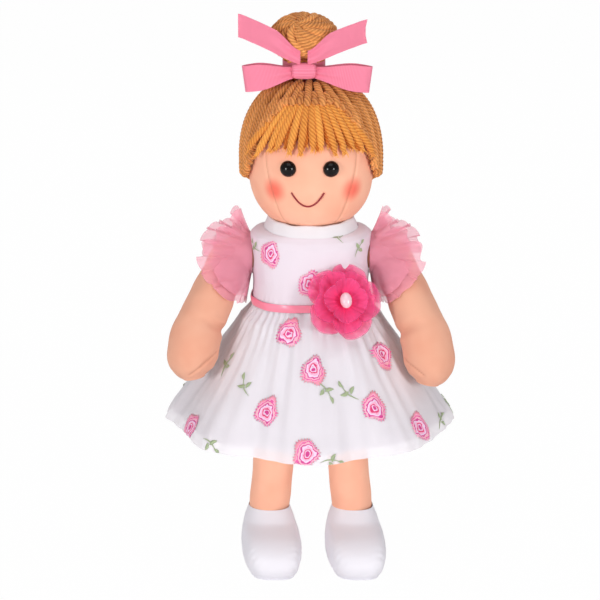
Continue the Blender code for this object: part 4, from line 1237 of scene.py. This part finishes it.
paths = [run_path(bun_rule(k), 0.3 + 0.36 * random.random()) for k in range(BUN_STRANDS)]
bun = spin_yarn("bun_strands", paths)
dress(bun, top_yarn, "head", "yarn", "bun")
bpy.data.objects.remove(plies)
print("bun:", BUN_STRANDS, "strands, faces", len(bun.data.polygons))

# %% [markdown]
# ## The bow
# One grosgrain ribbon goes round the bun's foot and is tied in front: a knot, two loops and two
# tails. Grosgrain is a ribbed ribbon, so fine ribs cross it from edge to edge.

# %% Bow
RIBBON_WIDTH = 16 * MM
RIBBON_WALL = 0.5 * MM
BUN_NECK = BUN_RADIUS * 0.56
KNOT = Vector((BUN.x, -16.2 * MM, 318.4 * MM))
KNOT_SIZE = Vector((14.8 * MM, 7.5 * MM, 10.8 * MM))


def band_rule(u, v):
    turn = u * math.tau
    radius = BUN_NECK + 0.7 * MM + 0.2 * MM * math.sin(9 * turn)
    return BUN + Vector((radius * math.cos(turn), radius * math.sin(turn), (0.4 + 8.0 * v) * MM))


def knot_rule(u, v):
    """A soft knot, pinched at its sides, with folds that run over it."""
    turn, slope = u * math.tau, math.pi * (v - 0.5)
    c, s = power_oval(turn, 2.8)
    up, level = math.sin(slope), math.cos(slope)
    fold = 1 + 0.05 * math.sin(up * 9 + 1)
    x = KNOT_SIZE.x / 2 * math.copysign(abs(up) ** 0.62, up)
    y = KNOT_SIZE.y / 2 * c * level**0.5 * fold
    z = KNOT_SIZE.z / 2 * s * level**0.5 * (0.92 + 0.08 * up * up)
    return KNOT + Vector((x, y, z))


def loop_rule(sign, length):
    start = KNOT_SIZE.x / 2 - 0.4 * MM

    def rule(u, v):
        turn = math.tau * u
        out = start + length * (1 - math.cos(turn)) / 2
        y = 4.6 * MM * math.sin(turn) * abs(math.sin(turn / 2)) ** 0.8
        share = (out - start) / length
        spread = 0.42 + 0.58 * smooth_step(-0.1, 0.75, share)
        level = (v - 0.5) * RIBBON_WIDTH * spread
        crease = 0.7 * MM * math.cos(v * math.tau * 2) * (1 - smooth_step(0.0, 0.7, share))
        tilt = math.radians(7.5)
        x = out * math.cos(tilt) + level * math.sin(tilt)
        z = level * math.cos(tilt) - out * math.sin(tilt)
        return KNOT + Vector((sign * x, y + crease * math.copysign(1, math.sin(turn)), z))
    return rule


def tail_rule(sign, reach, rise):
    rows = ((0.0, 0.0, 0.0), (0.25, 0.25, 0.02), (0.5, 0.55, 0.3), (0.78, 0.82, 0.7), (1.0, 1.0, 1.0))

    def rule(u, v):
        share = u
        up, back = flow(rows, share)[1:]
        width = (8.5 + 6.0 * smooth_step(0.0, 0.4, share)) * MM
        x = BUN.x + sign * (KNOT_SIZE.x / 4 * 0.6 + reach * share)
        ruck = 0.8 * MM * math.cos(v * math.tau * 1.5) * (1 - smooth_step(0.1, 0.6, share))
        y = KNOT.y - KNOT_SIZE.y * 0.42 + 12.5 * MM * back + ruck - 1.2 * MM * (v - 0.5) * share
        z = KNOT.z + KNOT_SIZE.z / 2 * 0.8 + rise * up + width * v
        notch = 1.6 * MM * (1 - abs(2 * v - 1)) if sign > 0 and share > 0.97 else 0.0
        return Vector((x - sign * notch, y, z))
    return rule


def ribbon_material(name, ribs):
    """Grosgrain: ribs that cross the ribbon, counted along its UV length; their troughs get painted shade.
    """
    material = finish(name, (0.88, 0.28, 0.37), 0.6, Sheen_Weight=0.1)
    wave = wave_of(material, uv_axes(material)[0], ribs)
    bump_from(material, wave, 0.3, 0.08 * MM)
    # The ribs' troughs are coloured darker: painted shade.
    two_tones(material, wave, (0.80, 0.185, 0.29), (0.90, 0.25, 0.37), -0.6, 1.0)
    return material


loop_cloth = ribbon_material("grosgrain_loop", 110)
tail_cloth = ribbon_material("grosgrain_tail", 64)
knot_cloth = ribbon_material("grosgrain_knot", 22)

band = wrap("bow_band_ribbon", 72, 8, band_rule)
thicken(band, RIBBON_WALL)
dress(band, loop_cloth, "head", "grosgrain", "bow_band")
knot = wrap("bow_knot_ribbon", 40, 32, knot_rule)
dress(knot, knot_cloth, "head", "grosgrain", "bow_knot")
for side, sign, reach, rise in (("right", -1, 37.5 * MM, 14.5 * MM), ("left", 1, 36 * MM, 11 * MM)):
    loop = wrap("bow_loop_ribbon_" + side, 96, 14, loop_rule(sign, 31.5 * MM + sign * 2 * MM))
    thicken(loop, RIBBON_WALL)
    dress(loop, loop_cloth, "head", "grosgrain", "bow_loop_" + side)
    tail = wrap("bow_tail_ribbon_" + side, 60, 14, tail_rule(sign, reach, rise), closed=False)
    thicken(tail, RIBBON_WALL)
    edit_all(tail, face_out)
    dress(tail, tail_cloth, "head", "grosgrain", "bow_tail_" + side)
print("bow: band, knot, two loops, two tails")

# %% [markdown]
# ## The dress
# The bodice and the skirt are white organza with rose sprigs embroidered on it. The skirt is a
# layer of organza over a cotton lining, both gathered at the waist, and it hangs in soft folds.
# A pink satin ribbon covers the waist seam. The collar is a plain white band that stands up.


# %% Collar and bodice
def collar_rule(u, v):
    turn = u * math.tau
    low = bodice_point(turn, 1.0, -0.4 * MM)
    wall = 2.2 * MM
    round_trip = v * (2 * 6.6 * MM + math.pi * wall / 2)
    if round_trip < 6.6 * MM:
        rise, inset = round_trip, 0.0
    elif round_trip < 6.6 * MM + math.pi * wall / 2:
        swing = (round_trip - 6.6 * MM) / (wall / 2)
        rise, inset = 6.6 * MM + wall / 2 * math.sin(swing), wall / 2 * (1 - math.cos(swing))
    else:
        rise, inset = 6.6 * MM - (round_trip - 6.6 * MM - math.pi * wall / 2), wall
    ease = 0.35 * MM * math.sin(11 * turn + 1) + 0.25 * MM * math.sin(7 * turn)
    lean = 2.4 * MM * smooth_step(0.0, 7.5 * MM, rise)
    return low - outward(low) * (inset + lean + ease * 0.6) + Vector((0, 0, rise - 0.9 * MM + ease * 0.5))


collar_band = wrap("collar_band", 160, 26, collar_rule)
thicken(collar_band, 0.3 * MM)
dress(collar_band, collar_cotton, "torso", "white_cotton", "collar")


def bodice_rule(u, v):
    turn = u * math.tau
    point = bodice_point(turn, v)
    out = outward(point)
    gather = 0.35 * MM * math.sin(52 * turn + 2 * math.sin(5 * turn)) * (1 - smooth_step(0.0, 0.22, v))
    ease = lumps(Vector((point.x, point.y, point.z * 0.4)), 11 * MM, 0.9 * MM)
    return point + out * (gather + ease * smooth_step(0.05, 0.3, v) * (1 - smooth_step(0.85, 1.0, v)))


dress_top = wrap("organza_bodice", 240, 60, bodice_rule)
thicken(dress_top, 0.5 * MM, -1.0)
cutters = []
for sign in (-1, 1):
    bpy.ops.mesh.primitive_cylinder_add(
        vertices=64, radius=11.8 * MM, depth=14 * MM,
        location=(sign * 38 * MM, 0, SHOULDER_Z), rotation=(0, math.pi / 2, 0),
    )
    cutters.append(current("armhole_cutter"))
bpy.ops.mesh.primitive_cube_add(size=1, location=(0, 31 * MM, 204.2 * MM))
slit = current("slit_cutter")
slit.scale = (0.7 * MM, 8 * MM, 38 * MM)
cutters.append(slit)
for tool in cutters:
    cut = dress_top.modifiers.new("cut", "BOOLEAN")
    cut.operation = "DIFFERENCE"
    cut.solver = "EXACT"
    cut.object = tool
apply_all(dress_top)
for tool in cutters:
    bpy.data.objects.remove(tool)
dress(dress_top, organza_bodice, "torso", "white_cotton", "bodice")
print("collar and bodice:", len(dress_top.data.polygons), "faces")

# %% Waist ribbon
def waist_rule(u, v):
    turn = u * math.tau
    point = bodice_point(turn, 0.002 + 0.098 * v, 0.75 * MM)
    out = outward(point)
    swell = 0.45 * MM * math.sin(math.pi * v) + 0.2 * MM * math.sin(13 * turn + 2 * v)
    point.z += 0.35 * MM * math.sin(4 * turn + 1)
    return point + out * swell


sash = wrap("waist_satin", 200, 12, waist_rule)
thicken(sash, 0.4 * MM)
dress(sash, satin_ribbon, "torso", "satin_ribbon", "waist_ribbon")
print("waist ribbon 4.7 mm wide")

# %% Skirt
SKIRT_SHARES = ((0.0, 0.0), (0.1, 0.13), (0.3, 0.33), (0.55, 0.58), (0.8, 0.83), (1.0, 1.0))


def skirt_point(angle, share, inset):
    """A point of the gathered skirt: small gathers at the waist that turn into soft folds."""
    out = flow(SKIRT_SHARES, min(share, 1.0))[1]
    top_width, top_depth = BODICE_HALF_WIDTH * 0.965, BODICE_HALF_DEPTH
    half_width = top_width + (HEM_HALF_WIDTH - 3.2 * MM - top_width) * out - inset
    half_depth = top_depth + (HEM_HALF_DEPTH - 3.2 * MM - top_depth) * out - inset
    broad = 3.0 * MM * share * share * math.cos(8 * (angle - math.pi / 2))
    ring_spot = Vector((math.cos(angle), math.sin(angle), share * 0.35)) * 2.6
    middle = 3.4 * MM * noise.noise(ring_spot) * smooth_step(0.0, 0.5, share)
    fine_spot = Vector((math.cos(angle), math.sin(angle), share * 0.12)) * 9.0
    fine = 2.6 * MM * noise.noise(fine_spot) * smooth_step(0.0, 0.25, share) * (1 - 0.35 * share)
    wobble = angle + 0.03 * math.sin(9 * angle)
    gather = 0.8 * MM * math.sin(46 * wobble) * math.exp(-((share - 0.05) / 0.14) ** 2)
    push = broad + middle + fine + gather
    x, y = power_oval(angle, 2.3 - 0.3 * share)
    point = Vector(((half_width + push) * x, (half_depth + push) * y, 0))
    lift = 4 * MM * share * share * math.cos(angle) ** 2
    point.z = WAIST_Z - 0.3 * MM - SKIRT_DROP * share + lift
    return point


def skirt_rule(longest, inset):
    def rule(u, v):
        return skirt_point(u * math.tau, longest * (1 - v), inset)
    return rule


overlay = wrap("skirt_organza", 360, 70, skirt_rule(1.0, 0.0))
thicken(overlay, 0.4 * MM, -1.0)
lining = wrap("skirt_cotton_lining", 300, 50, skirt_rule(0.937, 2.3 * MM))
thicken(lining, 0.5 * MM, -1.0)
print("skirt:", len(overlay.data.polygons), "and", len(lining.data.polygons), "faces")

# %% [markdown]
# ## Embroidery
# Rose heads and green sprigs are stitched on the organza. Each is a small raised patch that is laid
# on the finished cloth: the nearest point of the cloth is found for every point of the patch. The
# front ones are placed where the photograph shows them, by looking along the camera's line of sight.
# The roses that can't be seen repeat at the same spacing round the sides and the back.

# %% Thread materials


def rose_material():
    """Rings of thread from a magenta heart to a coral edge, bent out of round by noise."""
    material = finish("rose_thread", (0.85, 0.4, 0.5), 0.6, Sheen_Weight=0.1)
    where = add(material, "TexCoord")
    round_it, from_middle = uv_axes(material)
    cloud = add(material, "TexNoise", Scale=330.0, Detail=1.0)
    link(material, where.outputs["Object"], cloud.inputs["Vector"])
    bend = weigh(material, wave_of(material, round_it, 1), 0.17, from_middle)
    centre = add(material, "Math", operation="SUBTRACT")
    centre.inputs[1].default_value = 0.22
    link(material, weigh(material, cloud.outputs[0], 0.46, bend), centre.inputs[0])
    ramp = add(material, "ValToRGB")
    magenta, pale, beige = (0.66, 0.04, 0.27), (0.88, 0.66, 0.85), (0.87, 0.47, 0.50)
    crimson, coral, light = (0.74, 0.03, 0.17), (0.90, 0.30, 0.42), (0.93, 0.47, 0.66)
    rose = (0.80, 0.10, 0.36)
    steps = (
        (0.0, magenta), (0.10, magenta), (0.14, pale), (0.22, pale), (0.25, crimson), (0.33, crimson),
        (0.37, light), (0.46, light), (0.49, pale), (0.57, pale), (0.60, magenta), (0.67, magenta),
        (0.70, light), (0.80, beige), (0.83, rose), (0.90, rose), (0.93, light), (1.0, coral),
    )
    band = ramp.color_ramp.elements
    band[0].position, band[0].color = steps[0][0], (*steps[0][1], 1)
    band[1].position, band[1].color = steps[-1][0], (*steps[-1][1], 1)
    for position, colour in steps[1:-1]:
        band.new(position).color = (*colour, 1)
    link(material, centre.outputs[0], ramp.inputs[0])
    link(material, ramp.outputs[0], shader_of(material).inputs["Base Color"])
    threads = add(material, "TexNoise", Scale=1400.0, Detail=1.0)
    link(material, where.outputs["Object"], threads.inputs["Vector"])
    bump_from(material, threads.outputs[0], 0.6, 0.2 * MM)
    return material


rose_thread = rose_material()
leaf_thread = finish("leaf_thread", (0.38, 0.46, 0.27), 0.7)
grain(leaf_thread, 900, 0.5, 0.15 * MM)

# %% Lay patches on the cloth


def seen_at(tree, pixel):
    """Where the line of sight through a pixel meets a cloth; past its edge, step inwards."""
    for step in range(40):
        spot = [a + (b - a) * step / 80 for a, b in zip(pixel, (311, 360))]
        place, normal = tree.ray_cast(camera.location, sight(spot))[:2]
        if place is not None:
            return place, normal
    raise ValueError(f"no cloth near {pixel}")


def seat_on(tree, place, normal, across, up, lift):
    """The point of the cloth at a step across and up from a place."""
    aside = Vector((0, 0, 1)).cross(normal).normalized()
    rise = normal.cross(aside)
    guess = place + aside * across + rise * up
    spot, found = tree.find_nearest(guess + normal * 1.5 * MM)[:2]
    if found.dot(normal) < 0:
        found = -found
    return spot + found * lift


def lay_rose(tree, place, normal, radius, turn):
    """A flower head with a frayed zigzag edge; the middle stands up a little."""
    shape = random.uniform(0, math.tau)

    def rule(u, v):
        angle = math.tau * u + turn
        fray = 0.10 * (1 if round(u * 60) % 2 else -1) * smooth_step(0.88, 1.0, v)
        petal = (0.09 * math.cos(3 * angle + shape) + 0.07 * math.cos(5 * angle)) * v
        reach = radius * v * (1 + petal + fray)
        lift = (0.3 + 0.35 * (1 - v * v)) * MM
        return seat_on(tree, place, normal, 0.86 * reach * math.cos(angle), reach * math.sin(angle), lift)
    return wrap("rose", 60, 7, rule)


def lay_leaf(tree, place, normal, start, end, width):
    """A narrow stitched leaf or stem from start to end, in millimetres on the cloth."""
    a, b = Vector(start) * MM, Vector(end) * MM
    aside = Vector((a.y - b.y, b.x - a.x)).normalized()

    def rule(u, v):
        bow = 0.12 * (b - a).length * math.sin(math.pi * v)
        wide = width * MM * math.sin(math.pi * min(max(v, 0.06), 0.94)) ** 0.8
        spot = a + (b - a) * v + aside * (bow + (u - 0.5) * wide)
        return seat_on(tree, place, normal, spot.x, spot.y, 0.4 * MM)
    return wrap("leaf", 2, 8, rule, closed=False)


def lay_sprig(tree, place, normal, lean, size=1.0):
    """A bent stem with three leaves."""
    c, s = math.cos(lean) * size, math.sin(lean) * size

    def at(across, along):
        return Vector((across * c - along * s, across * s + along * c))
    parts = ((0, -6, 0.5, 7, 0.8), (0, 0, 4.6, 1.4, 2.3), (0.2, 2, -4.6, 4.4, 2.3), (0.4, 6, 2.2, 10.5, 1.9))
    return [lay_leaf(tree, place, normal, at(x0, y0), at(x1, y1), w) for x0, y0, x1, y1, w in parts]


ROSE_RADIUS = 8.9 * MM
skirt_tree, bodice_tree = tree_of(overlay), tree_of(dress_top)
skirt_roses = [
    (290, 333), (314, 371), (381.5, 356), (267.7, 411), (190.6, 427),
    (306, 453.6), (374.5, 407), (420, 427),
]
skirt_sprigs = [
    ((226, 368), 0.2), ((246, 388), 0.7), ((323, 389), -2.6), ((351, 394), 0.9),
    ((208, 443), -2.0), ((329, 462), -1.6), ((441, 422), -1.0), ((456, 408), -0.6),
]
roses, leaves = [], []
for pixel in skirt_roses:
    place, normal = seen_at(skirt_tree, pixel)
    roses.append(lay_rose(skirt_tree, place, normal, ROSE_RADIUS, random.uniform(0, math.tau)))
for pixel, lean in skirt_sprigs:
    place, normal = seen_at(skirt_tree, pixel)
    leaves += lay_sprig(skirt_tree, place, normal, lean)
REAR_ROWS = ((0.30, 5, 0.0), (0.62, 7, 0.5), (0.88, 9, 0.1))
for share, count, shift in REAR_ROWS:
    for k in range(count):
        angle = math.radians(8) + math.radians(164) * (k + 0.5 + 0.3 * shift) / (count + 0.3)
        guess = skirt_point(angle, share, 0.0)
        place, normal = skirt_tree.find_nearest(guess + outward(guess) * 3 * MM)[:2]
        roses.append(lay_rose(skirt_tree, place, normal, ROSE_RADIUS, random.uniform(0, math.tau)))
        if k % 2 == 0:
            sprig_at = skirt_point(angle + 0.16, share - 0.1, 0.0)
            place, normal = skirt_tree.find_nearest(sprig_at + outward(sprig_at) * 3 * MM)[:2]
            leaves += lay_sprig(skirt_tree, place, normal, random.uniform(-1, 1))
rose_patches = join(roses, "skirt_roses")
leaf_patches = join(leaves, "skirt_sprigs")
dress(rose_patches, rose_thread, None, "embroidered_net")
dress(leaf_patches, leaf_thread, None, "embroidered_net")
for piece in (rose_patches, leaf_patches):
    thicken(piece, 0.25 * MM)

dress(overlay, organza, None, "embroidered_net", "skirt_overlay")
dress(lining, cotton, None, "white_cotton", "skirt_lining")
for piece in (overlay, lining, rose_patches, leaf_patches):
    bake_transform(piece)

top_roses, top_leaves = [], []
for pixel in ((270, 254), (310, 285)):
    place, normal = seen_at(bodice_tree, pixel)
    top_roses.append(lay_rose(bodice_tree, place, normal, ROSE_RADIUS * 0.95, random.uniform(0, math.tau)))
for pixel, lean in (((256, 247), 1.2), ((339, 238), 0.4), ((358, 250), -0.6)):
    place, normal = seen_at(bodice_tree, pixel)
    top_leaves += lay_sprig(bodice_tree, place, normal, lean, 0.8)
for x, z in ((-22, 200), (20, 182), (-14, 180), (24, 204)):
    place, normal = bodice_tree.find_nearest(Vector((x * MM, 33 * MM, z * MM)))[:2]
    top_roses.append(lay_rose(bodice_tree, place, normal, ROSE_RADIUS * 0.95, random.uniform(0, math.tau)))
for x, z in ((-6, 190), (14, 196)):
    place, normal = bodice_tree.find_nearest(Vector((x * MM, 33 * MM, z * MM)))[:2]
    top_leaves += lay_sprig(bodice_tree, place, normal, 0.4, 0.8)
bodice_roses = join(top_roses, "bodice_roses")
bodice_leaves = join(top_leaves, "bodice_sprigs")
dress(bodice_roses, rose_thread, "torso", "embroidered_net")
dress(bodice_leaves, leaf_thread, "torso", "embroidered_net")
print("embroidery:", len(roses) + len(top_roses), "roses")

# %% [markdown]
# ## Sleeve frills
# Each armhole has a gathered frill of pink net. It is cut as a long strip, gathered along the seam,
# so it opens like a fan: folds run out from the armhole and the free edge waves. It lies over the
# arm, stands up as a leaf at the shoulder and has a second, shorter layer on top.


# %% Frills
def clear_of_arm(point, room):
    """Push a point of the frill out until it lies outside the left arm."""
    for k in range(0, 29):
        centre, radius = arm_station(k / 4)
        away = point - centre
        if away.length < radius + room:
            point = centre + away.normalized() * (radius + room)
    return point


def frill_rule(sign, size, folds, depth, room, phase):
    root_x, root_radius = 36.3 * MM, 11.2 * MM

    def rule(u, v):
        angle = math.tau * u
        up, down = max(0.0, math.sin(angle)), max(0.0, -math.sin(angle))
        level = math.cos(angle) ** 2
        leaf = math.exp(-(((angle - math.radians(94)) / math.radians(15)) ** 2))
        reach = (28 * level + 20.5 * up * up + 31 * down * down) * MM * size + 10 * MM * leaf * size
        out = (32.5 * level + 10 * up * up + 4 * down * down) * MM * size
        front = 1.0 if math.cos(angle) > 0 else 0.93
        fold = folds * angle + phase + 0.9 * math.sin(2 * angle + phase)
        swing = math.sin(fold) * depth * MM * v**1.2
        scallop = 1.1 * MM * math.cos(2 * fold) * v * v
        radius = root_radius + (reach * front - root_radius) * v + scallop
        x = root_x + out * v**0.85 + swing * (0.5 + 0.5 * up)
        sway = swing * 0.6 / max(radius, 1 * MM)
        point = Vector((x, -radius * math.cos(angle + sway), SHOULDER_Z + radius * math.sin(angle + sway)))
        point = clear_of_arm(point, room + 0.9 * MM * (1 + math.sin(fold)) * v)
        point.x = max(point.x, root_x)
        return Vector((sign * point.x, point.y, point.z))
    return rule


for side, sign, phase in (("right", -1, 0.4), ("left", 1, 1.7)):
    frill = wrap("net_frill_" + side, 300, 26, frill_rule(sign, 1.0, 15, 2.8, 1.1 * MM, phase))
    thicken(frill, 0.3 * MM)
    upper = wrap("net_frill_upper_" + side, 260, 20, frill_rule(sign, 0.78, 12, 2.6, 3.0 * MM, phase + 2))
    thicken(upper, 0.3 * MM)
    dress(frill, tulle, "arm_" + side, "pink_net", "sleeve_frill_" + side)
    dress(upper, tulle, "arm_" + side, "pink_net")
print("frills: two layers of net at each shoulder")

# %% [markdown]
# ## Flower
# Layers of chiffon discs, gathered at the middle and stitched to a felt base on the waist ribbon,
# with one pearl bead. Chiffon is thin, so the edges let the lower layers show; its colour is also
# painted lighter at the edges and darker towards the gathered middle, as the shade of deep folds.

# %% Flower
tilt, swing = math.radians(23), math.radians(16)
FLOWER_NORMAL = Matrix.Rotation(swing, 3, "Z") @ Vector((0, -math.cos(tilt), math.sin(tilt)))
bead_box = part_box("flower_bead")
bead_centre = (bead_box[0] + bead_box[1]) / 2
FLOWER_PLACE = Matrix.Translation(bead_centre) @ FLOWER_NORMAL.to_track_quat("Z", "Y").to_matrix().to_4x4()


def petal_rule(radius, foot, cup, lobes, ruffle, phase):
    def rule(u, v):
        angle = math.tau * u
        notch = abs(math.cos(lobes * angle / 2 + phase)) ** 0.55
        r = radius * v * (1 - 0.20 * (1 - notch) * v)
        waves = math.sin(1.5 * lobes * angle + phase * 3) + 0.6 * math.sin(17 * angle + phase)
        wave = ruffle * v**1.5 * waves
        dip = -1.9 * MM * math.cos(lobes * angle + 2 * phase) * v * v
        rise = foot + cup * v**1.5 + wave + dip
        return FLOWER_PLACE @ Vector((r * math.cos(angle), r * math.sin(angle), rise))
    return rule


LAYERS = (
    ("outer", 24.0, -7.0, 1.6, 5, 0.9, 0.0),
    ("middle", 20.0, -6.2, 4.2, 5, 1.0, 0.9),
    ("inner", 14.0, -5.2, 6.4, 4, 1.1, 0.3),
)
for name, radius, foot, cup, lobes, ruffle, phase in LAYERS:
    rule = petal_rule(radius * MM, foot * MM, cup * MM, lobes, ruffle * MM, phase)
    petal = wrap("chiffon_" + name, 216, 22, rule)
    thicken(petal, 0.25 * MM)
    dress(petal, chiffon, "torso", "pink_chiffon", "flower_" + name)
bpy.ops.mesh.primitive_uv_sphere_add(segments=48, ring_count=32, radius=1)
pearl_bead = current("pearl_bead")
for vert in pearl_bead.data.vertices:
    vert.co = Vector((vert.co.x * 3.6 * MM, vert.co.y * 4.8 * MM, vert.co.z * 3.6 * MM))
pearl_bead.matrix_world = FLOWER_PLACE
dress(pearl_bead, pearl, "torso", "pearl", "flower_bead")
print("flower at", [round(c / MM, 1) for c in bead_centre])

# %% [markdown]
# ## What stays as it is
# The bead washers, the closure strips and the felt base are plain parts, so their solids keep their
# shape and only get a finish.

# %% Finishes for the plain parts
PLAIN = {
    "eye_washer_left": plastic,
    "eye_washer_right": plastic,
    "closure_hook_strip": tape,
    "closure_loop_strip": tape,
    "flower_base": felt,
}
for name, material in PLAIN.items():
    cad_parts[name].data.materials.clear()
    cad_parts[name].data.materials.append(material)
print("plain parts:", ", ".join(PLAIN))
